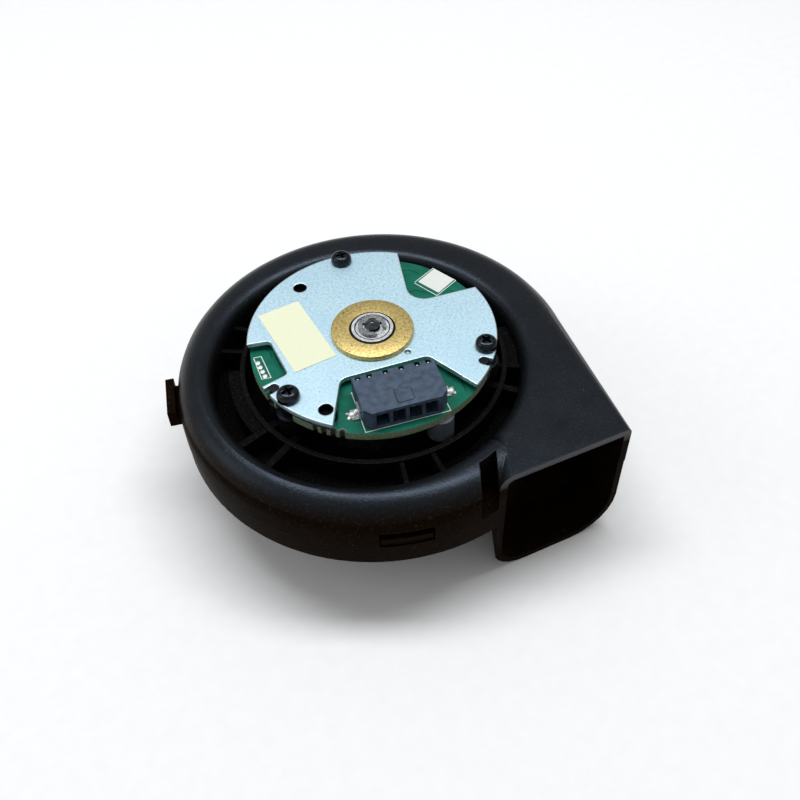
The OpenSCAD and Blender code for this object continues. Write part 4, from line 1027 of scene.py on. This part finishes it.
floor_card, tree, shader, where = new_material("card_white_matt", Roughness=0.9, IOR=1.4)
fibre = add(tree, "ShaderNodeTexNoise", {"Scale": per_mm(FIBRE), "Detail": 3}, {"Vector": where})
pale = add(tree, "ShaderNodeValToRGB", None, {"Fac": fibre.outputs["Fac"]},
           [(0.3, "#fbfbfb"), (0.7, "#fefefe")])
connect(tree, shader, {"Base Color": pale.outputs["Color"]})
from_below = add(tree, "ShaderNodeNewGeometry").outputs["Backfacing"]
clear = add(tree, "ShaderNodeBsdfTransparent")
card = add(tree, "ShaderNodeMixShader", None, {0: from_below, 1: shader.outputs[0], 2: clear.outputs[0]})
connect(tree, tree.nodes["Material Output"], {"Surface": card.outputs[0]})

floor_mesh = bpy.data.meshes.new("floor")
corners = [(x * FLOOR_HALF, y * FLOOR_HALF, 0) for x, y in ((-1, -1), (1, -1), (1, 1), (-1, 1))]
floor_mesh.from_pydata(corners, [], [(0, 1, 2, 3)])
floor_mesh.materials.append(floor_card)
floor = in_scene("floor", floor_mesh)
floor.location.z = -FLOOR_DROP
floor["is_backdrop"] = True
print("floor:", 2 * FLOOR_HALF, "m wide")

# %% [markdown]
# ## Light
# An even white room and two soft lamps give the plain light of a product picture. The long
# cool lamp above and a little behind draws the highlights along the bead of the housing
# and lights the plate, and leaves the front walls in their own shade. A weak one on the
# left opens the shadows. A photograph of a room could light the fan instead, but its
# bright and dark patches would show in the metal.

# %% Light
ROOM_LIGHT = 0.33
LAMP_AIM = Vector((0, 0, 20 * MM))

world = bpy.data.worlds.new("studio")
world.use_nodes = True
bpy.context.scene.world = world
tree = world.node_tree
tree.nodes.clear()
room = add(tree, "ShaderNodeBackground", {"Color": colour("#ffffff"), "Strength": ROOM_LIGHT})
add(tree, "ShaderNodeOutputWorld", None, {"Surface": room.outputs[0]})


def lamp(name, place, size, power, code):
    """A rectangular soft lamp at a place in metres, turned towards the fan."""
    data = bpy.data.lights.new(name, "AREA")
    data.shape = "RECTANGLE"
    data.size, data.size_y = size
    data.energy = power
    data.color = colour(code)[:3]
    made = in_scene(name, data)
    made.location = place
    made.rotation_euler = (LAMP_AIM - Vector(place)).to_track_quat("-Z", "Y").to_euler()


lamp("ceiling_lamp", (0.035, 0.13, 0.8), (0.9, 0.18), 5.3, "#fbfdff")
lamp("window_lamp", (-0.7, 0.05, 0.4), (0.4, 0.4), 0.7, "#fbfdff")
print("lamps:", len(bpy.data.lights))

# %% [markdown]
# ## Camera
# The place, the lens and the shift were solved from the round plate, the screws and the
# connector in the picture, so the model can be laid over it. A camera could be placed by
# eye, but then no size read from the picture would be right.

# %% Camera
CAMERA_PLACE = (-0.0194, -0.1219, 0.1554)
HEADING, UP = Vector((0.2538, 0.9673, 0)), Vector((0, 0, 1))
LOOK_DOWN, ROLL = math.radians(44.55), math.radians(0.34)

camera_data = bpy.data.cameras.new("camera")
camera_data.sensor_width = 36
camera_data.lens = 40.5
camera_data.shift_x = -0.045
camera_data.shift_y = -0.0875
camera_data.clip_start = 0.01
camera = in_scene("camera", camera_data)
ahead = HEADING * math.cos(LOOK_DOWN) - UP * math.sin(LOOK_DOWN)
turned = ahead.to_track_quat("-Z", "Y").to_matrix() @ Matrix.Rotation(ROLL, 3, "Z")
camera.rotation_euler = turned.to_euler()
camera.location = CAMERA_PLACE
bpy.context.scene.camera = camera
bpy.context.scene.view_settings.view_transform = "Standard"
print("camera:", camera_data.lens, "mm lens")

# %% [markdown]
# The box round every piece that renders, the floor left out, is measured. The visual
# model has to stay inside the box of the exact parts.

# %% Finish
low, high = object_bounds()
